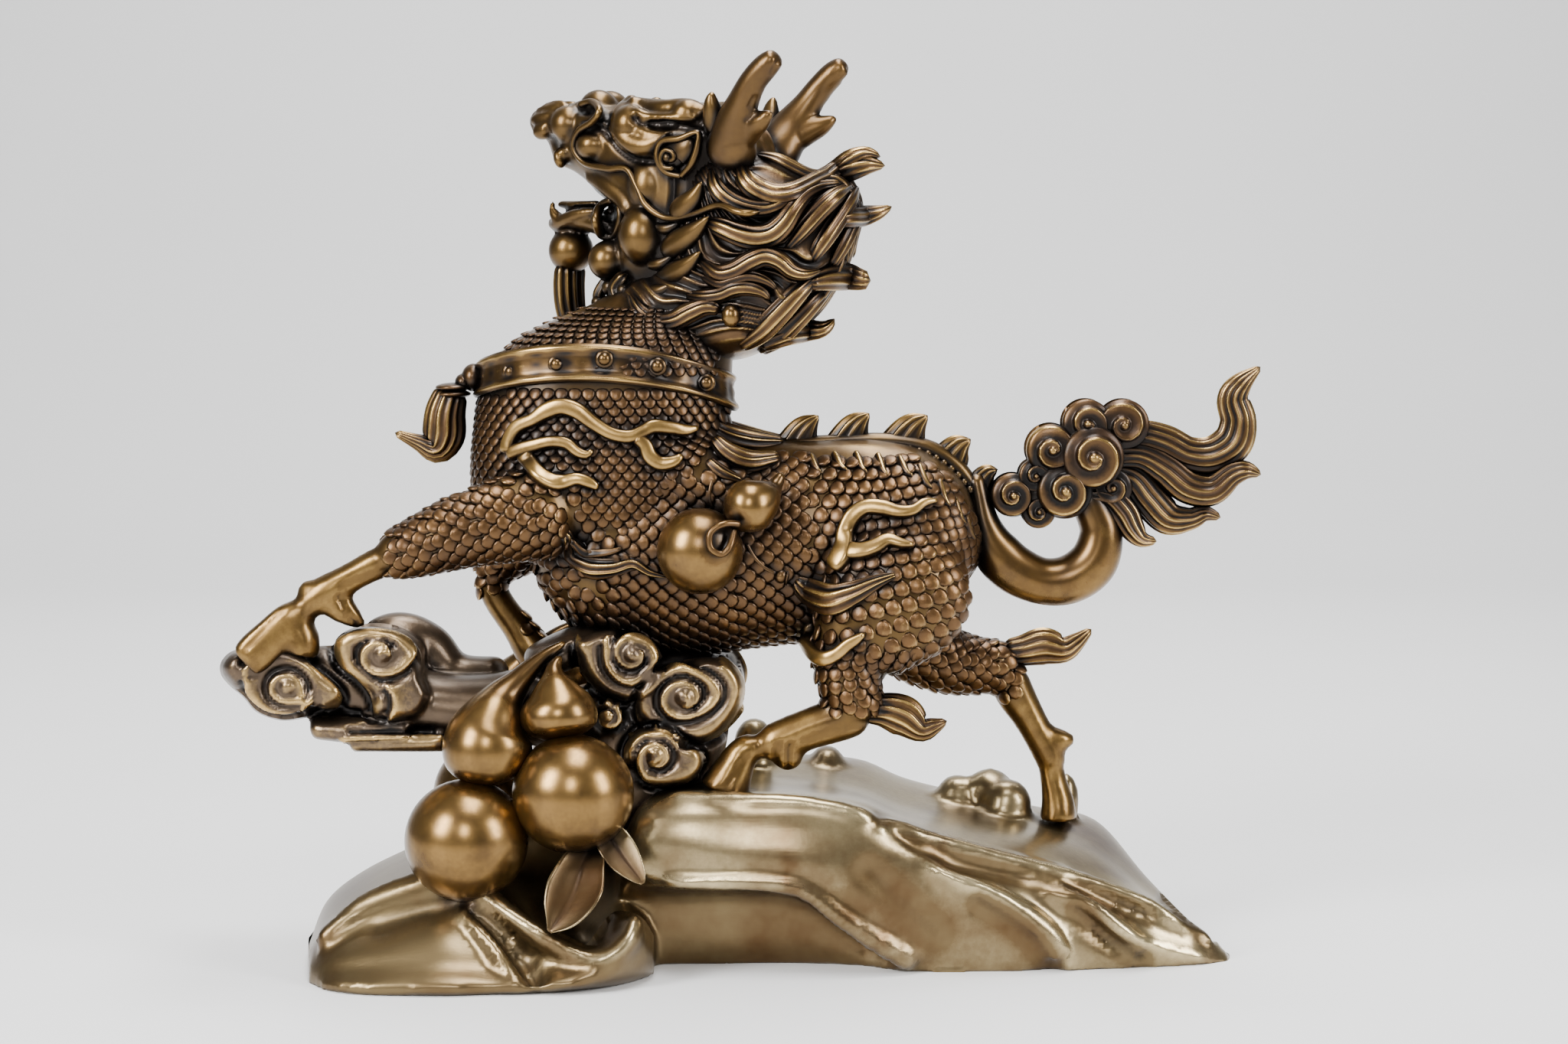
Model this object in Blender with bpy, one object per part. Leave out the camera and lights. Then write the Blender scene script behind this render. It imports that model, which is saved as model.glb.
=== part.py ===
"""A cast brass qilin standing on a rock with clouds and gourds, as one faceted solid.

Sizes are millimetres until the mesh is written. The frame is +X towards the tail, +Z up, and -Y towards
the side that is worked out most. The head end is -X. The underside is flat, at Z = 0.

The figure is cast in one, so every form here is a closed shell. The shells overlap and are fused into a
single skin, as the founder's wax was joined before the pour.
"""

import math

import bmesh
import bpy
import numpy as np
from mathutils import Matrix, Vector
from mathutils.bvhtree import BVHTree

MM = 0.001

# Stations are read as a viewer sees them on the middle plane Y = 0, from an eye at this place, and are then
# moved along the line of sight to their own depth.
EYE_X, EYE_BACK, EYE_Z = 20.0, 1500.0, 330.0

# The head turns away from the near side about an upright line through the top of the neck.
HEAD_TURN = math.radians(26)
HEAD_PIVOT_X = -5.0

VOXEL = 1.5  # the skin's cell
TRIANGLES_WANTED = 9900
PLAIN_MARGIN = 3.0  # how much nearer a plain shell must be for a spot to count as plain
SPARE_FACTOR = 1.4  # how strongly the thinning spares the carving
BRASS = (0.36, 0.22, 0.09, 1.0)

Y_AXIS = np.array([0.0, 1.0, 0.0])
HEAD_SIDE = np.array([math.sin(HEAD_TURN), math.cos(HEAD_TURN), 0.0])  # from the near to the far cheek


# Placing


def sight(x, z, y):
    """The point at depth y that the eye sees at (x, z) of the middle plane."""
    reach = (EYE_BACK + y) / EYE_BACK
    return np.array([EYE_X + (x - EYE_X) * reach, y, EYE_Z + (z - EYE_Z) * reach])


def head_depth(x, out):
    """The depth of a point of the turned head that lies `out` to the near side of its middle plane."""
    along = HEAD_PIVOT_X - (x + out * math.sin(HEAD_TURN))
    return along * math.tan(HEAD_TURN) - out * math.cos(HEAD_TURN)


def curve(knots, per_span=7):
    """A Catmull-Rom curve through rows of any width."""
    knots = np.asarray(knots, float)
    ends = np.vstack([2 * knots[0] - knots[1], knots, 2 * knots[-1] - knots[-2]])
    t = np.linspace(0, 1, per_span, endpoint=False)[:, None]
    rows = []
    for a, b, c, d in zip(ends[:-3], ends[1:-2], ends[2:-1], ends[3:]):
        bend = (2 * a - 5 * b + 4 * c - d) * t**2
        twist = (3 * b - a - 3 * c + d) * t**3
        rows.append(0.5 * (2 * b + (c - a) * t + bend + twist))
    return np.vstack([*rows, knots[-1:]])


# Shells: each is (points, faces), closed, with its faces pointing out


def tube(centre, across, deep, side=Y_AXIS, sides=16, ridges=0, groove=0.0, level=False):
    """A closed skin round a path. `across` is its half width in the plane of the path's bend, and `deep`
    its half width along `side`. Ridges are flutes that run the whole length. A level tube has level rings,
    whatever way its path leans."""
    tangent = np.gradient(centre, axis=0)
    if level:
        tangent = np.broadcast_to([0.0, 0.0, 1.0], centre.shape)
    tangent = tangent / np.linalg.norm(tangent, axis=1)[:, None]
    side = np.broadcast_to(side, centre.shape)
    lateral = side - (side * tangent).sum(1)[:, None] * tangent
    lateral /= np.linalg.norm(lateral, axis=1)[:, None]
    normal = np.cross(tangent, lateral)
    turn = np.arange(sides) * math.tau / sides
    flute = 1 + groove * np.cos(ridges * turn)
    ring = (
        normal[:, None] * (across[:, None] * np.cos(turn) * flute)[..., None]
        + lateral[:, None] * (deep[:, None] * np.sin(turn) * flute)[..., None]
    )
    rings = (centre[:, None] + ring).reshape(-1, 3)
    points = np.vstack([centre[:1], rings, centre[-1:]])
    count, last = len(centre), len(points) - 1
    faces = []
    for j in range(sides):
        k = (j + 1) % sides
        faces.append((0, 1 + j, 1 + k))
        for i in range(count - 1):
            a, b = 1 + i * sides, 1 + (i + 1) * sides
            faces.append((a + j, b + j, b + k, a + k))
        end = 1 + (count - 1) * sides
        faces.append((last, end + k, end + j))
    return points, faces


def rounded(path, blunt):
    """Draws the half widths in at the path's ends: fully over a length of `blunt` times the width."""
    step = np.linalg.norm(np.diff(path[:, :3], axis=0), axis=1)
    along = np.concatenate([[0], np.cumsum(step)])
    for share, gap in ((blunt[0], along), (blunt[1], along[-1] - along)):
        if share:
            near = np.clip(gap / (share * np.maximum(path[:, 3], 0.3)), 0, 1)
            path[:, 3:5] *= np.sqrt(1 - (1 - near) ** 2)[:, None] * 0.98 + 0.02
    return path


def limb(stations, blunt=(0.9, 0.9), side=Y_AXIS, sides=16, ridges=0, groove=0.0, per_span=7, level=False):
    """A limb, neck, horn or lock from stations (x, z, depth, half width, half depth)."""
    rows = [(*sight(x, z, y), across, deep) for x, z, y, across, deep in stations]
    path = rounded(curve(rows, per_span), blunt)
    return tube(path[:, :3], path[:, 3], path[:, 4], side, sides, ridges, groove, level)


def lock(stations, thick, ridges=10, side=Y_AXIS, groove=0.09):
    """A tapering lock of hair from stations (x, z, depth, half width), fluted along its length."""
    rows = [(x, z, y, w, max(0.5, thick * min(1.0, w / 4))) for x, z, y, w in stations]
    return limb(rows, (0.6, 0.5), side, 20, ridges, groove)


def ball(x, z, y, across, deep=None, tall=None):
    """An egg shape: half widths along X, Y and Z."""
    deep, tall = deep or across, tall or across
    turn = np.linspace(0, math.pi, 15)
    centre = sight(x, z, y) + np.stack([0 * turn, 0 * turn, -tall * np.cos(turn)], 1)
    reach = np.maximum(np.sin(turn), 0.02)
    return tube(centre, across * reach, deep * reach, sides=20)


def mirrored(shell):
    """The same shell on the far side of the body."""
    points, faces = shell
    return points * [1, -1, 1], [tuple(reversed(f)) for f in faces]


def across_head(shell):
    """The same shell on the far side of the turned head."""
    points, faces = shell
    pivot = np.array([HEAD_PIVOT_X, 0, 0])
    away = (points - pivot) @ HEAD_SIDE
    return points - 2 * away[:, None] * HEAD_SIDE, [tuple(reversed(f)) for f in faces]


def both(shells, turned=mirrored):
    return [*shells, *(turned(s) for s in shells)]


def spiral(x, z, y, radius, wire, turns=1.6, start=90.0, clockwise=True, dome=2.0, lead=()):
    """A scroll: a wire that winds in to a bead, with its middle raised. `lead` are points that run in."""
    share = np.linspace(0, 1, 13)
    angle = math.radians(start) + (-1 if clockwise else 1) * math.tau * turns * share
    reach = radius * (1 - 0.86 * share)
    knots = [(px, pz, y, wire * 0.9, wire) for px, pz in lead]
    for a, r, s in zip(angle, reach, share):
        knots.append((x + r * math.cos(a), z + r * math.sin(a), y - dome * s, wire, wire))
    return [limb(knots, (0.8, 0.8), sides=8, per_span=3), ball(x, z, y - dome, 0.2 * radius + 0.6)]


# The creature


def torso():
    barrel = limb(
        [(-96, 196, 0, 24, 22), (-74, 192, 0, 43, 34), (-48, 191, 0, 49, 38), (-20, 191, 0, 50.5, 38),
         (8, 192, 0, 48, 35), (34, 193, 0, 46.5, 35), (60, 194, 0, 46, 37), (84, 191, 0, 43, 38),
         (101, 186, 0, 33, 31), (109, 183, 0, 18, 18)],
        sides=32,
    )
    neck = limb(
        [(-62, 190, 0, 48, 32), (-62, 206, 0, 60, 38), (-63, 226, 0, 61, 39), (-63.5, 246, 0, 59, 37),
         (-62, 262, 0, 58, 36), (-59, 275, 0, 55.5, 35), (-53, 286, 1, 50.5, 33), (-45, 294, 4, 43, 30),
         (-36, 302, 8, 33, 26), (-29, 312, 11, 26, 22), (-25, 328, 12, 24, 20)],
        (0.3, 0.5), sides=32, level=True,
    )
    shoulder = limb(
        [(-52, 232, -14, 14, 14), (-68, 222, -19, 26, 20), (-84, 213, -21, 27, 21),
         (-98, 206, -25, 21, 17)],
        sides=24,
    )
    return [barrel, neck, *both([shoulder])]


def near_front_leg():
    """Reaches forward, with its hoof on the cloud."""
    y = -38
    return [
        limb([(-76, 211, -26, 24, 18), (-96, 205, -32, 20.5, 16), (-114, 201, -36, 18, 15),
              (-132, 196, y, 15.5, 13.5), (-148, 190, y, 13, 12), (-160, 186, y, 10.5, 10),
              (-169, 182.5, y, 8, 8.5)]),
        limb([(-164, 184, y, 8, 8), (-174, 179, y, 7, 7), (-184, 173.5, y, 7, 7), (-193, 168, y, 8, 8),
              (-200, 163, y, 7, 7.5), (-205, 159, y, 7, 7)]),
        limb([(-190, 168, y, 6, 6), (-184, 160, y, 6.5, 6), (-179, 153, y, 3.5, 4)]),
        limb([(-199, 163, y, 5, 6), (-208, 155, y, 9.5, 9), (-218, 146, y, 12, 10.5),
              (-228, 137, y, 12.5, 11.5)],
             (0.9, 0.25)),
        limb([(-205, 150, y, 8, 8), (-197, 147, y, 6, 7), (-190, 146, y, 4, 5)]),
    ]


def far_front_leg():
    """Folded under the chest, with its hoof down on the clouds."""
    y = 30
    return [
        limb([(-76, 206, 24, 22, 16), (-92, 198, 30, 17, 15), (-106, 188, y, 13, 13),
              (-115, 180, y, 9.5, 10), (-119, 174, y, 8, 9)]),
        limb([(-118, 178, y, 7, 8), (-113, 165, y, 7, 7.5), (-104, 152, y, 7.5, 7.5), (-98, 143, y, 9, 9),
              (-92, 134, y, 11, 10)]),
    ]


def near_hind_leg():
    y = -36
    return [
        limb([(82, 200, -16, 22, 20), (76, 184, -24, 33, 22), (68, 166, -29, 35, 21),
              (58, 150, -32, 27, 18), (51, 137, -34, 18, 15), (51, 125, y, 14, 13), (56, 113, y, 10.5, 11),
              (60, 107, y, 6, 8)], sides=24),
        limb([(60, 111, y, 8, 9), (46, 108.5, y, 10, 9), (30, 103.5, y, 9.5, 8.5), (17, 98, y, 9.5, 8.5),
              (8, 95, y, 8.5, 8)]),
        limb([(20, 96, y, 8, 8), (20, 89, y, 7.5, 7), (20, 84, y, 4, 5)]),
        limb([(9, 98, y, 6, 7), (0, 92, y, 8, 8), (-5, 83, y, 10.5, 10), (-9, 73, y, 14, 13)], (0.8, 0.2)),
        lock([(56, 112, y, 5), (66, 113, y, 8), (76, 110, y, 9.5), (84, 104, y, 6), (90, 105.5, y, 4),
              (96, 108, y, 1.2)], 5),
    ]


def far_hind_leg():
    y = 30
    return [
        limb([(70, 168, 16, 30, 18), (78, 150, 24, 22, 16), (92, 138, 28, 16, 14), (108, 134, y, 13, 12),
              (120, 134, y, 11, 10.5), (128, 132, y, 7, 8)], sides=20),
        limb([(122, 134, y, 9, 9), (127, 122, y, 9.5, 8.5), (134, 110, y, 8, 7.5), (140, 99, y, 7.5, 7.5),
              (144, 91, y, 7.5, 7.5), (145, 83, y, 6, 6.5)]),
        limb([(140, 101, y, 6, 6), (149, 99, y, 5.5, 6), (155, 99, y, 2.5, 4)]),
        limb([(144, 90, y, 6, 6.5), (146, 79, y, 6.5, 7), (148, 69, y, 8, 9),
              (148, 60, y, 9.5, 11)], (0.8, 0.2)),
        lock([(122, 140, y, 6), (131, 141, y, 7.5), (141, 143, y, 9), (150, 141.5, y, 6.5),
              (156, 145, y, 4.5), (163, 151, y, 1.4)], 5),
    ]


def tail():
    root = limb(
        [(108, 224, 0, 4.5, 5), (110.5, 212, 0, 5.5, 7), (113, 200, 0, 7.5, 9), (118, 188, 0, 11, 10.5),
         (127, 179, 0, 11.5, 11), (140, 173.5, 0, 11, 11), (153, 174.5, 0, 11.5, 11),
         (163.5, 182.5, 0, 11.5, 11), (167, 196, 0, 10, 10), (163, 208, 0, 9, 9), (158, 218, 0, 8, 8)],
        sides=20,
    )
    bulk = [
        ball(152, 226, 0, 17, 11, 13), ball(162, 238, 0, 16, 10, 11), ball(127, 213, 0, 7.5, 8, 8.5),
        ball(138, 214, 0, 10, 8, 9),
    ]
    locks = [
        lock([(170, 240, 0, 6), (184, 241, 0, 7), (196, 238, 0, 8), (207, 232.5, 0, 8), (218, 232, 0, 9),
              (227.5, 238, 0, 9.5), (230, 248, 0, 8.5), (227.5, 258, 0, 7.5), (231, 265, 0, 5.5),
              (240, 273, 0, 1.2)],
             6.5, 12),
        lock([(168, 231, -2, 5), (184, 232, -2, 6), (196, 226, -2, 7.5), (207, 217.5, -2, 8),
              (218, 216, -2, 7.5), (227, 223, -2, 6), (234, 225, -2, 4.5), (241, 223, -2, 1.2)], 6.5, 12),
        lock([(165, 223, 0, 5), (180, 222, 0, 7), (189, 212, 0, 8.5), (198, 203, 0, 8),
              (208, 202.5, 0, 5.5), (215, 205, 0, 4), (222.5, 203, 0, 1.4)], 6.5, 12),
        lock([(156, 213, -3, 4), (169, 213, -3, 6), (177, 206, -3, 7), (181.5, 198, -3, 6),
              (186, 193, -3, 4), (193, 192, -3, 1.4)], 6, 12),
    ]
    curls = []
    for x, z, radius, y in (
        (125.5, 214.5, 7.5, -7), (150, 216, 9.5, -10), (162.5, 231, 11, -11),
        (178, 247.5, 8, -7), (160, 247, 7.5, -7), (144, 235, 8.5, -9),
    ):
        curls.append(ball(x, z, y + 3, radius, 4.5, radius))
        curls += spiral(x, z, y - 1, radius * 0.82, radius * 0.17, dome=2.5, start=200)
    return [root, *bulk, *locks, *both(curls)]


def spines():
    """Fins along the back, each a thin blade that leans towards the tail."""
    blades = []
    for base, tip, half in (
        ((27, 237), (36.5, 250.5), 9), ((51, 239), (59.5, 251.5), 9), ((75, 238), (86.5, 250.5), 10),
        ((95, 231), (106.5, 239.5), 9), ((110, 222), (119, 225.5), 7),
    ):
        (bx, bz), (tx, tz) = base, tip
        belly = (bx + 0.62 * (tx - bx) - 0.5, bz + 0.55 * (tz - bz))
        stations = [(bx - 2, bz - 4, 0, half, 3.5), (*belly, 0, half * 0.52, 2.4), (tx, tz, 0, 0.8, 1)]
        blades.append(limb(stations, (0.3, 0.3), sides=12))
    ridge = limb([(14, 236, 0, 4, 5), (40, 237, 0, 4.5, 5), (66, 238, 0, 4.5, 5), (86, 235, 0, 4.5, 5),
                  (99, 227, 0, 4.5, 5), (108, 216, 0, 4, 5)])
    return [ridge, *blades]


def withers():
    """Hair that falls from the back of the neck over the withers."""
    hair = [
        lock([(-14, 246, -12, 4), (-6, 241, -12, 6), (6, 238, -8, 6), (20, 238, -4, 3)], 6, 8),
        lock([(-13, 240, -24, 3), (-6, 233, -27, 5), (4, 229, -26, 5.5), (18, 231, -20, 3)], 5, 8),
        lock([(-16, 230, -31, 2.5), (-9, 224, -33, 3.5), (1, 220, -33, 1.5)], 4, 6),
    ]
    return both(hair)


def belt_and_tassel():
    """A studded collar round the neck, with a medallion and a tassel on the breast."""
    turn = np.linspace(0, math.tau, 41)[:-1]
    collar = []
    for lift, wire, swell in ((6.5, 1.9, 1.6), (-6.5, 1.9, 1.6), (0, 6.2, -0.6)):
        rise = 264 + 12 * np.abs(np.sin(turn)) ** 1.5 + lift - 3 * np.cos(turn)
        x = -62.5 + (58.6 + swell - 0.09 * (rise - 262)) * np.cos(turn)
        y = (36.4 + swell - 0.05 * (rise - 262)) * np.sin(turn)
        ring = np.stack([x, y, rise], 1)
        collar.append(hoop(ring, wire, 1.9 if wire < 3 else 1.6))
    studs = [ball(x, z, y, 2.8, 2.5) for x, z, y in (
        (-106, 270.5, -23), (-85, 274, -33), (-63, 276.5, -37), (-38.5, 273, -34), (-16, 265.5, -24))]
    breast = [
        ball(-123.5, 268, 0, 5.5, 7.5, 6.5),
        ball(-133, 262, 0, 8, 9, 3),
        limb([(-133, 263, 0, 7.5, 8), (-136.5, 252, 0, 9.5, 9), (-137.5, 241, 0, 10, 9),
              (-141, 235, 0, 7, 7), (-149, 238, 0, 4, 4.5),
              (-160, 242.5, 0, 1.5, 1.8)], (0.5, 0.4), sides=24, ridges=12, groove=0.07),
    ]
    return [*collar, *both(studs), *breast]


def hoop(ring, across, deep):
    """A closed ring of flat oval section, its wide way up."""
    count, sides = len(ring), 10
    along = np.roll(ring, -1, 0) - np.roll(ring, 1, 0)
    along /= np.linalg.norm(along, axis=1)[:, None]
    up = np.array([0.0, 0, 1]) - along[:, 2:3] * along
    up /= np.linalg.norm(up, axis=1)[:, None]
    out = np.cross(along, up)
    turn = np.arange(sides) * math.tau / sides
    high = up[:, None] * (across * np.cos(turn))[:, None]
    wide = out[:, None] * (deep * np.sin(turn))[:, None]
    rows = ring[:, None] + high + wide
    faces = []
    for i in range(count):
        a, b = i * sides, (i + 1) % count * sides
        faces += [(a + j, b + j, b + (j + 1) % sides, a + (j + 1) % sides) for j in range(sides)]
    return rows.reshape(-1, 3), [tuple(reversed(f)) for f in faces]


# The head


def face(stations, **more):
    """A form of the turned head, from stations (x, z, out from its middle plane, half width, half depth)."""
    rows = [(x, z, head_depth(x, out), across, deep) for x, z, out, across, deep in stations]
    return limb(rows, side=HEAD_SIDE, **more)


def face_ball(x, z, out, radius, tall=None):
    return ball(x, z, head_depth(x, out), radius, radius, tall)


def head():
    skull = [
        face([(12, 368, 0, 15, 20), (0, 374, 0, 18, 25), (-16, 377, 0, 17, 28), (-32, 377, 0, 16, 29),
              (-50, 376, 0, 15, 27), (-66, 376, 0, 14, 23), (-80, 376, 0, 12, 19),
              (-90, 379, 0, 7, 12)], sides=24),
        face([(-14, 368, 0, 22, 24), (-24, 352, 0, 20, 28), (-32, 338, 0, 19, 27), (-40, 324, 0, 17, 24),
              (-48, 312, 0, 11, 16)], sides=24),
        face([(-34, 336, 0, 12, 24), (-52, 336, 0, 8, 20), (-68, 338, 0, 6.5, 16),
              (-82, 341, 0, 5, 12)], sides=20),
        face([(-64, 388, 0, 9, 12), (-70, 388, 0, 8, 11), (-84, 384, 0, 6, 10)], sides=16),
    ]
    chin = [
        face_ball(-78, 326.5, 2, 10.7),
        face([(-66, 345, 8, 2.5, 3), (-80, 344, 7, 2.8, 3), (-87, 346, 3, 2.2, 3), (-89, 346, 0, 2, 3)]),
        face([(-85, 344, 8, 2.6, 2.6), (-86.5, 349, 8, 1, 1)]),
        face([(-80, 322, 0, 6, 11), (-81, 310, 0, 6.5, 10), (-80, 298, 0, 6, 9), (-76, 288, 0, 5, 8)]),
    ]
    pairs = [
        face_ball(-46, 333.5, 19.5, 11.5, 13.5),
        face_ball(-61, 322, 15, 9.4),
        face_ball(-79, 384, 9, 8.8),
        face_ball(-65, 390.8, 5, 9.4),
        face_ball(-41, 356, 16, 11, 14),
        face_ball(-50, 383.5, 19, 9.5),
        face([(-55, 391, 17, 3, 4), (-49, 394, 19, 3.2, 4), (-42, 389, 22, 3.5, 4), (-30, 388, 23, 5, 5),
              (-20, 390, 22, 6, 6), (-12, 387, 19, 4, 4)]),
        face([(-54, 377, 22, 3, 3), (-46, 378, 25, 3.2, 3), (-36, 381, 27, 2.4, 3),
              (-30, 380, 27, 1.2, 2)]),
        face([(-82, 374, 13, 4, 4), (-83, 368, 14, 3.4, 3.5), (-82, 363.5, 14, 1.5, 1.5)]),
        face([(-11, 379, 24, 6, 5), (-12.5, 389, 29, 5, 4), (-13.3, 395, 31, 3.4, 3),
              (-13, 399.8, 32, 0.9, 1.2)]),
        face([(-90, 385, 4, 4, 4), (-95, 386, 4, 3, 3)]),
        face([(-86, 381, 9, 4, 4), (-93, 381, 8, 3.4, 3.4)]),
        face([(-74, 393, 8, 2, 2), (-68, 394, 11, 2, 2), (-64.5, 390, 14, 2, 2), (-68, 385, 17, 2, 2),
              (-74, 381, 18, 2, 2), (-76, 374, 18, 2, 2), (-71, 366.5, 20, 2, 2), (-61, 364, 23, 2, 2),
              (-52, 363.5, 26, 2, 2), (-47, 355, 27, 2, 2), (-43, 347, 28, 2, 2), (-34, 341.5, 30, 2, 2),
              (-22, 343, 31, 2, 2), (-10, 347, 32, 2, 2), (0, 343, 34, 1.8, 2), (10, 344.5, 35, 0.8, 1)],
             per_span=4, sides=8),
        face([(-66, 372, 17, 9, 6), (-54, 369, 22, 7, 5), (-44, 362, 24, 7, 5), (-38, 352, 26, 6, 4)]),
    ]
    ear = [
        face([(-33, 362, 27, 4, 3), (-33, 370, 30, 6.5, 3), (-27, 374, 31, 6.5, 3), (-20, 379, 31, 2, 2)]),
        face([(-27, 360.5, 30, 1.6, 2), (-34, 363, 32, 1.8, 2), (-38, 370, 33, 1.8, 2),
              (-36, 377, 33, 1.8, 2), (-28, 377.5, 34, 1.8, 2), (-19, 380, 34, 1.2, 2),
              (-21, 371, 34, 1.8, 2), (-25, 363, 32, 1.8, 2)],
             sides=8, per_span=4),
        face_ball(-33, 368.5, 31, 3.6),
    ]
    cheek_flames = [
        face([(x, z, 26, 5, 5), (x + 0.55 * dx, z + 0.35 * dz, 29, 4.5, 4), (x + dx, z + dz, 31, 1, 1)])
        for x, z, dx, dz in ((-29, 348, 10, 9.5), (-32, 332, 16, 10), (-40, 317, 20, 9), (-49, 310, 16, 1))
    ]
    horn = [
        face([(-6, 364, 18, 12, 11), (-4, 374, 23, 12, 10), (-2, 385, 29, 10, 8), (1.5, 395, 33, 7.4, 7),
              (6, 404, 35, 6.4, 6.3), (12, 411.4, 35.5, 6, 6), (17.5, 416.4, 36, 4.6, 4.8)], sides=14),
        face([(0, 378, 25, 7.5, 6), (5, 383, 29, 6.6, 5), (9.5, 386, 32, 4.8, 4.2),
              (14.5, 389.8, 34, 1.6, 1.8)]),
    ]
    return [*skull, *chin, *both([*pairs, *ear, *cheek_flames, *horn], across_head)]


def mane():
    bulk = limb(
        [(-22, 280, 0, 14, 16), (-14, 290, 0, 25, 27), (-2, 304, 0, 31, 33), (8, 320, 0, 34, 35),
         (15, 338, 0, 33, 34), (17, 354, 0, 29, 30), (13, 367, 0, 16, 20)],
        sides=28,
    )
    # Locks of the near side: (x, z, depth, half width)
    locks = [
        [(-8, 362, -32, 4), (4, 366, -28, 6), (16, 365, -24, 7), (29, 358, -20, 7), (41, 358, -16, 7),
         (50, 364, -12, 6.5), (58, 367.5, -9, 5), (66, 365.5, -6, 1.4)],
        [(-14, 361, -33, 3), (-6, 354, -36, 5), (6, 349.5, -36, 5.5), (20, 350, -33, 5.5),
         (32, 354, -28, 5), (45, 356.5, -21, 2.5)],
        [(-8, 344, -36, 4), (2, 338, -38, 6), (14, 338.5, -36, 6.5), (25, 346, -32, 6), (36, 350, -26, 5),
         (46, 350, -20, 4)],
        [(14, 330, -36, 5), (28, 338, -31, 7), (40, 342, -24, 7), (51, 343, -17, 6), (60, 343.5, -12, 4.5),
         (69, 346.5, -8, 1.4)],
        [(-16, 323, -34, 4), (-8, 319, -37, 5.5), (2, 321, -38, 6), (11, 324.5, -38, 5.5),
         (19, 321, -37, 5), (27, 316, -35, 4), (36, 317, -33, 1.4)],
        [(10, 312, -34, 6), (24, 314, -31, 8), (36, 314.5, -25, 7.5), (47, 313.5, -18, 6.5),
         (56, 311.5, -14, 5), (60, 311, -13, 3.5)],
        [(-24, 310, -31, 4), (-12, 306, -34, 5), (-1, 309.5, -35, 5), (8, 309.5, -35, 4.5),
         (14, 304, -34, 1.4)],
        [(-49, 308, -22, 3), (-43, 297, -27, 5), (-31, 291.5, -31, 6), (-17, 295.5, -32, 6),
         (-6, 297, -32, 4.5)],
        [(-2, 292, -26, 8), (10, 290, -24, 9), (23, 289.5, -20, 7.5), (34, 290.5, -15, 5),
         (43, 295, -12, 1.4)],
        [(-42, 292, -20, 6), (-30, 284.5, -24, 7), (-14, 281, -24, 7), (2, 281, -18, 6), (14, 285, -14, 3)],
        [(44, 352, -14, 6), (44, 338, -20, 7), (40, 324, -24, 7), (33, 308, -22, 6), (24, 296, -18, 4)],
    ]
    near = [lock(rows, 5.5, 10) for rows in locks]
    fill = ball(4, 350, -12, 18, 20, 15)
    return [bulk, fill, mirrored(fill), ball(-4, 296.5, -33, 4.6, 4, 5.4), *both(near)]


# Ornaments that lie on the creature's skin


class Skin:
    """The outer surface of a set of shells, for laying relief on it."""

    def __init__(self, shells):
        points, faces = joined(shells)
        self.tree = BVHTree.FromPolygons([Vector(p) for p in points], faces)
        self.eye = Vector((EYE_X, -EYE_BACK, EYE_Z))

    def under(self, x, z):
        """Where the line of sight through (x, z) first meets the skin, and the skin's direction there."""
        aim = Vector(sight(x, z, 0)) - self.eye
        spot, normal, _, _ = self.tree.ray_cast(self.eye, aim.normalized())
        return np.array(spot), np.array(normal)

    def ribbon(self, stations, height, ridges=0, groove=0.0, sink=0.3):
        """A raised band through (x, z, half width), standing `height` out of the skin."""
        rows = curve([(*self.under(x, z)[0], w) for x, z, w in stations], 6)
        normal = curve([self.under(x, z)[1] for x, z, _ in stations], 6)
        normal /= np.linalg.norm(normal, axis=1)[:, None]
        centre = rows[:, :3] - sink * height * normal
        path = rounded(np.column_stack([centre, rows[:, 3], np.full(len(rows), height)]), (0.7, 0.7))
        return tube(path[:, :3], path[:, 3], path[:, 4], normal, 12, ridges, groove)


def flames(skin):
    """Flame scrolls over the shoulder and the thigh."""
    paths = [
        [(-107, 233, 2), (-107.5, 241, 2.6), (-102, 247, 2.6), (-94, 249.5, 2.8), (-87, 254, 2.8),
         (-79, 254, 3), (-72, 248, 3), (-64, 242, 3), (-54, 240, 3.2), (-47, 244, 3), (-39, 246, 3),
         (-29, 243, 2.6), (-21, 244, 1)],
        [(-52, 240.5, 2), (-46.5, 235, 2.8), (-43, 229, 3), (-36, 227.5, 3), (-28, 231, 1.4)],
        [(-107, 233, 2), (-101, 233, 3.4), (-95, 236.5, 2.6), (-88, 238, 2.4), (-81, 235, 2.6),
         (-75, 232, 2.2), (-69, 233, 1)],
        [(-101, 233, 3), (-97.5, 226, 3.2), (-92, 219.5, 3.2), (-84, 218.5, 3.2), (-77, 220, 3),
         (-71, 218.5, 2.4), (-66, 215, 1)],
        [(45, 178, 3), (48, 185, 3.4), (50, 191, 4), (49, 199, 3.2), (53, 205, 3.2), (61, 208, 3.2),
         (70, 206, 3), (78, 205.5, 2.8), (84, 208, 2), (90, 208, 0.9)],
        [(49, 190, 3), (57, 188.5, 3.2), (64, 187.5, 3), (70, 190.5, 2.6), (76, 189, 2), (81, 189, 0.9)],
        [(34, 157, 2), (31.5, 149, 2.8), (35, 141, 3), (42, 137, 3), (48, 141, 2.4), (53, 147, 2),
         (59, 150, 1)],
    ]
    return both([skin.ribbon(p, 3.0) for p in paths])


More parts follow.
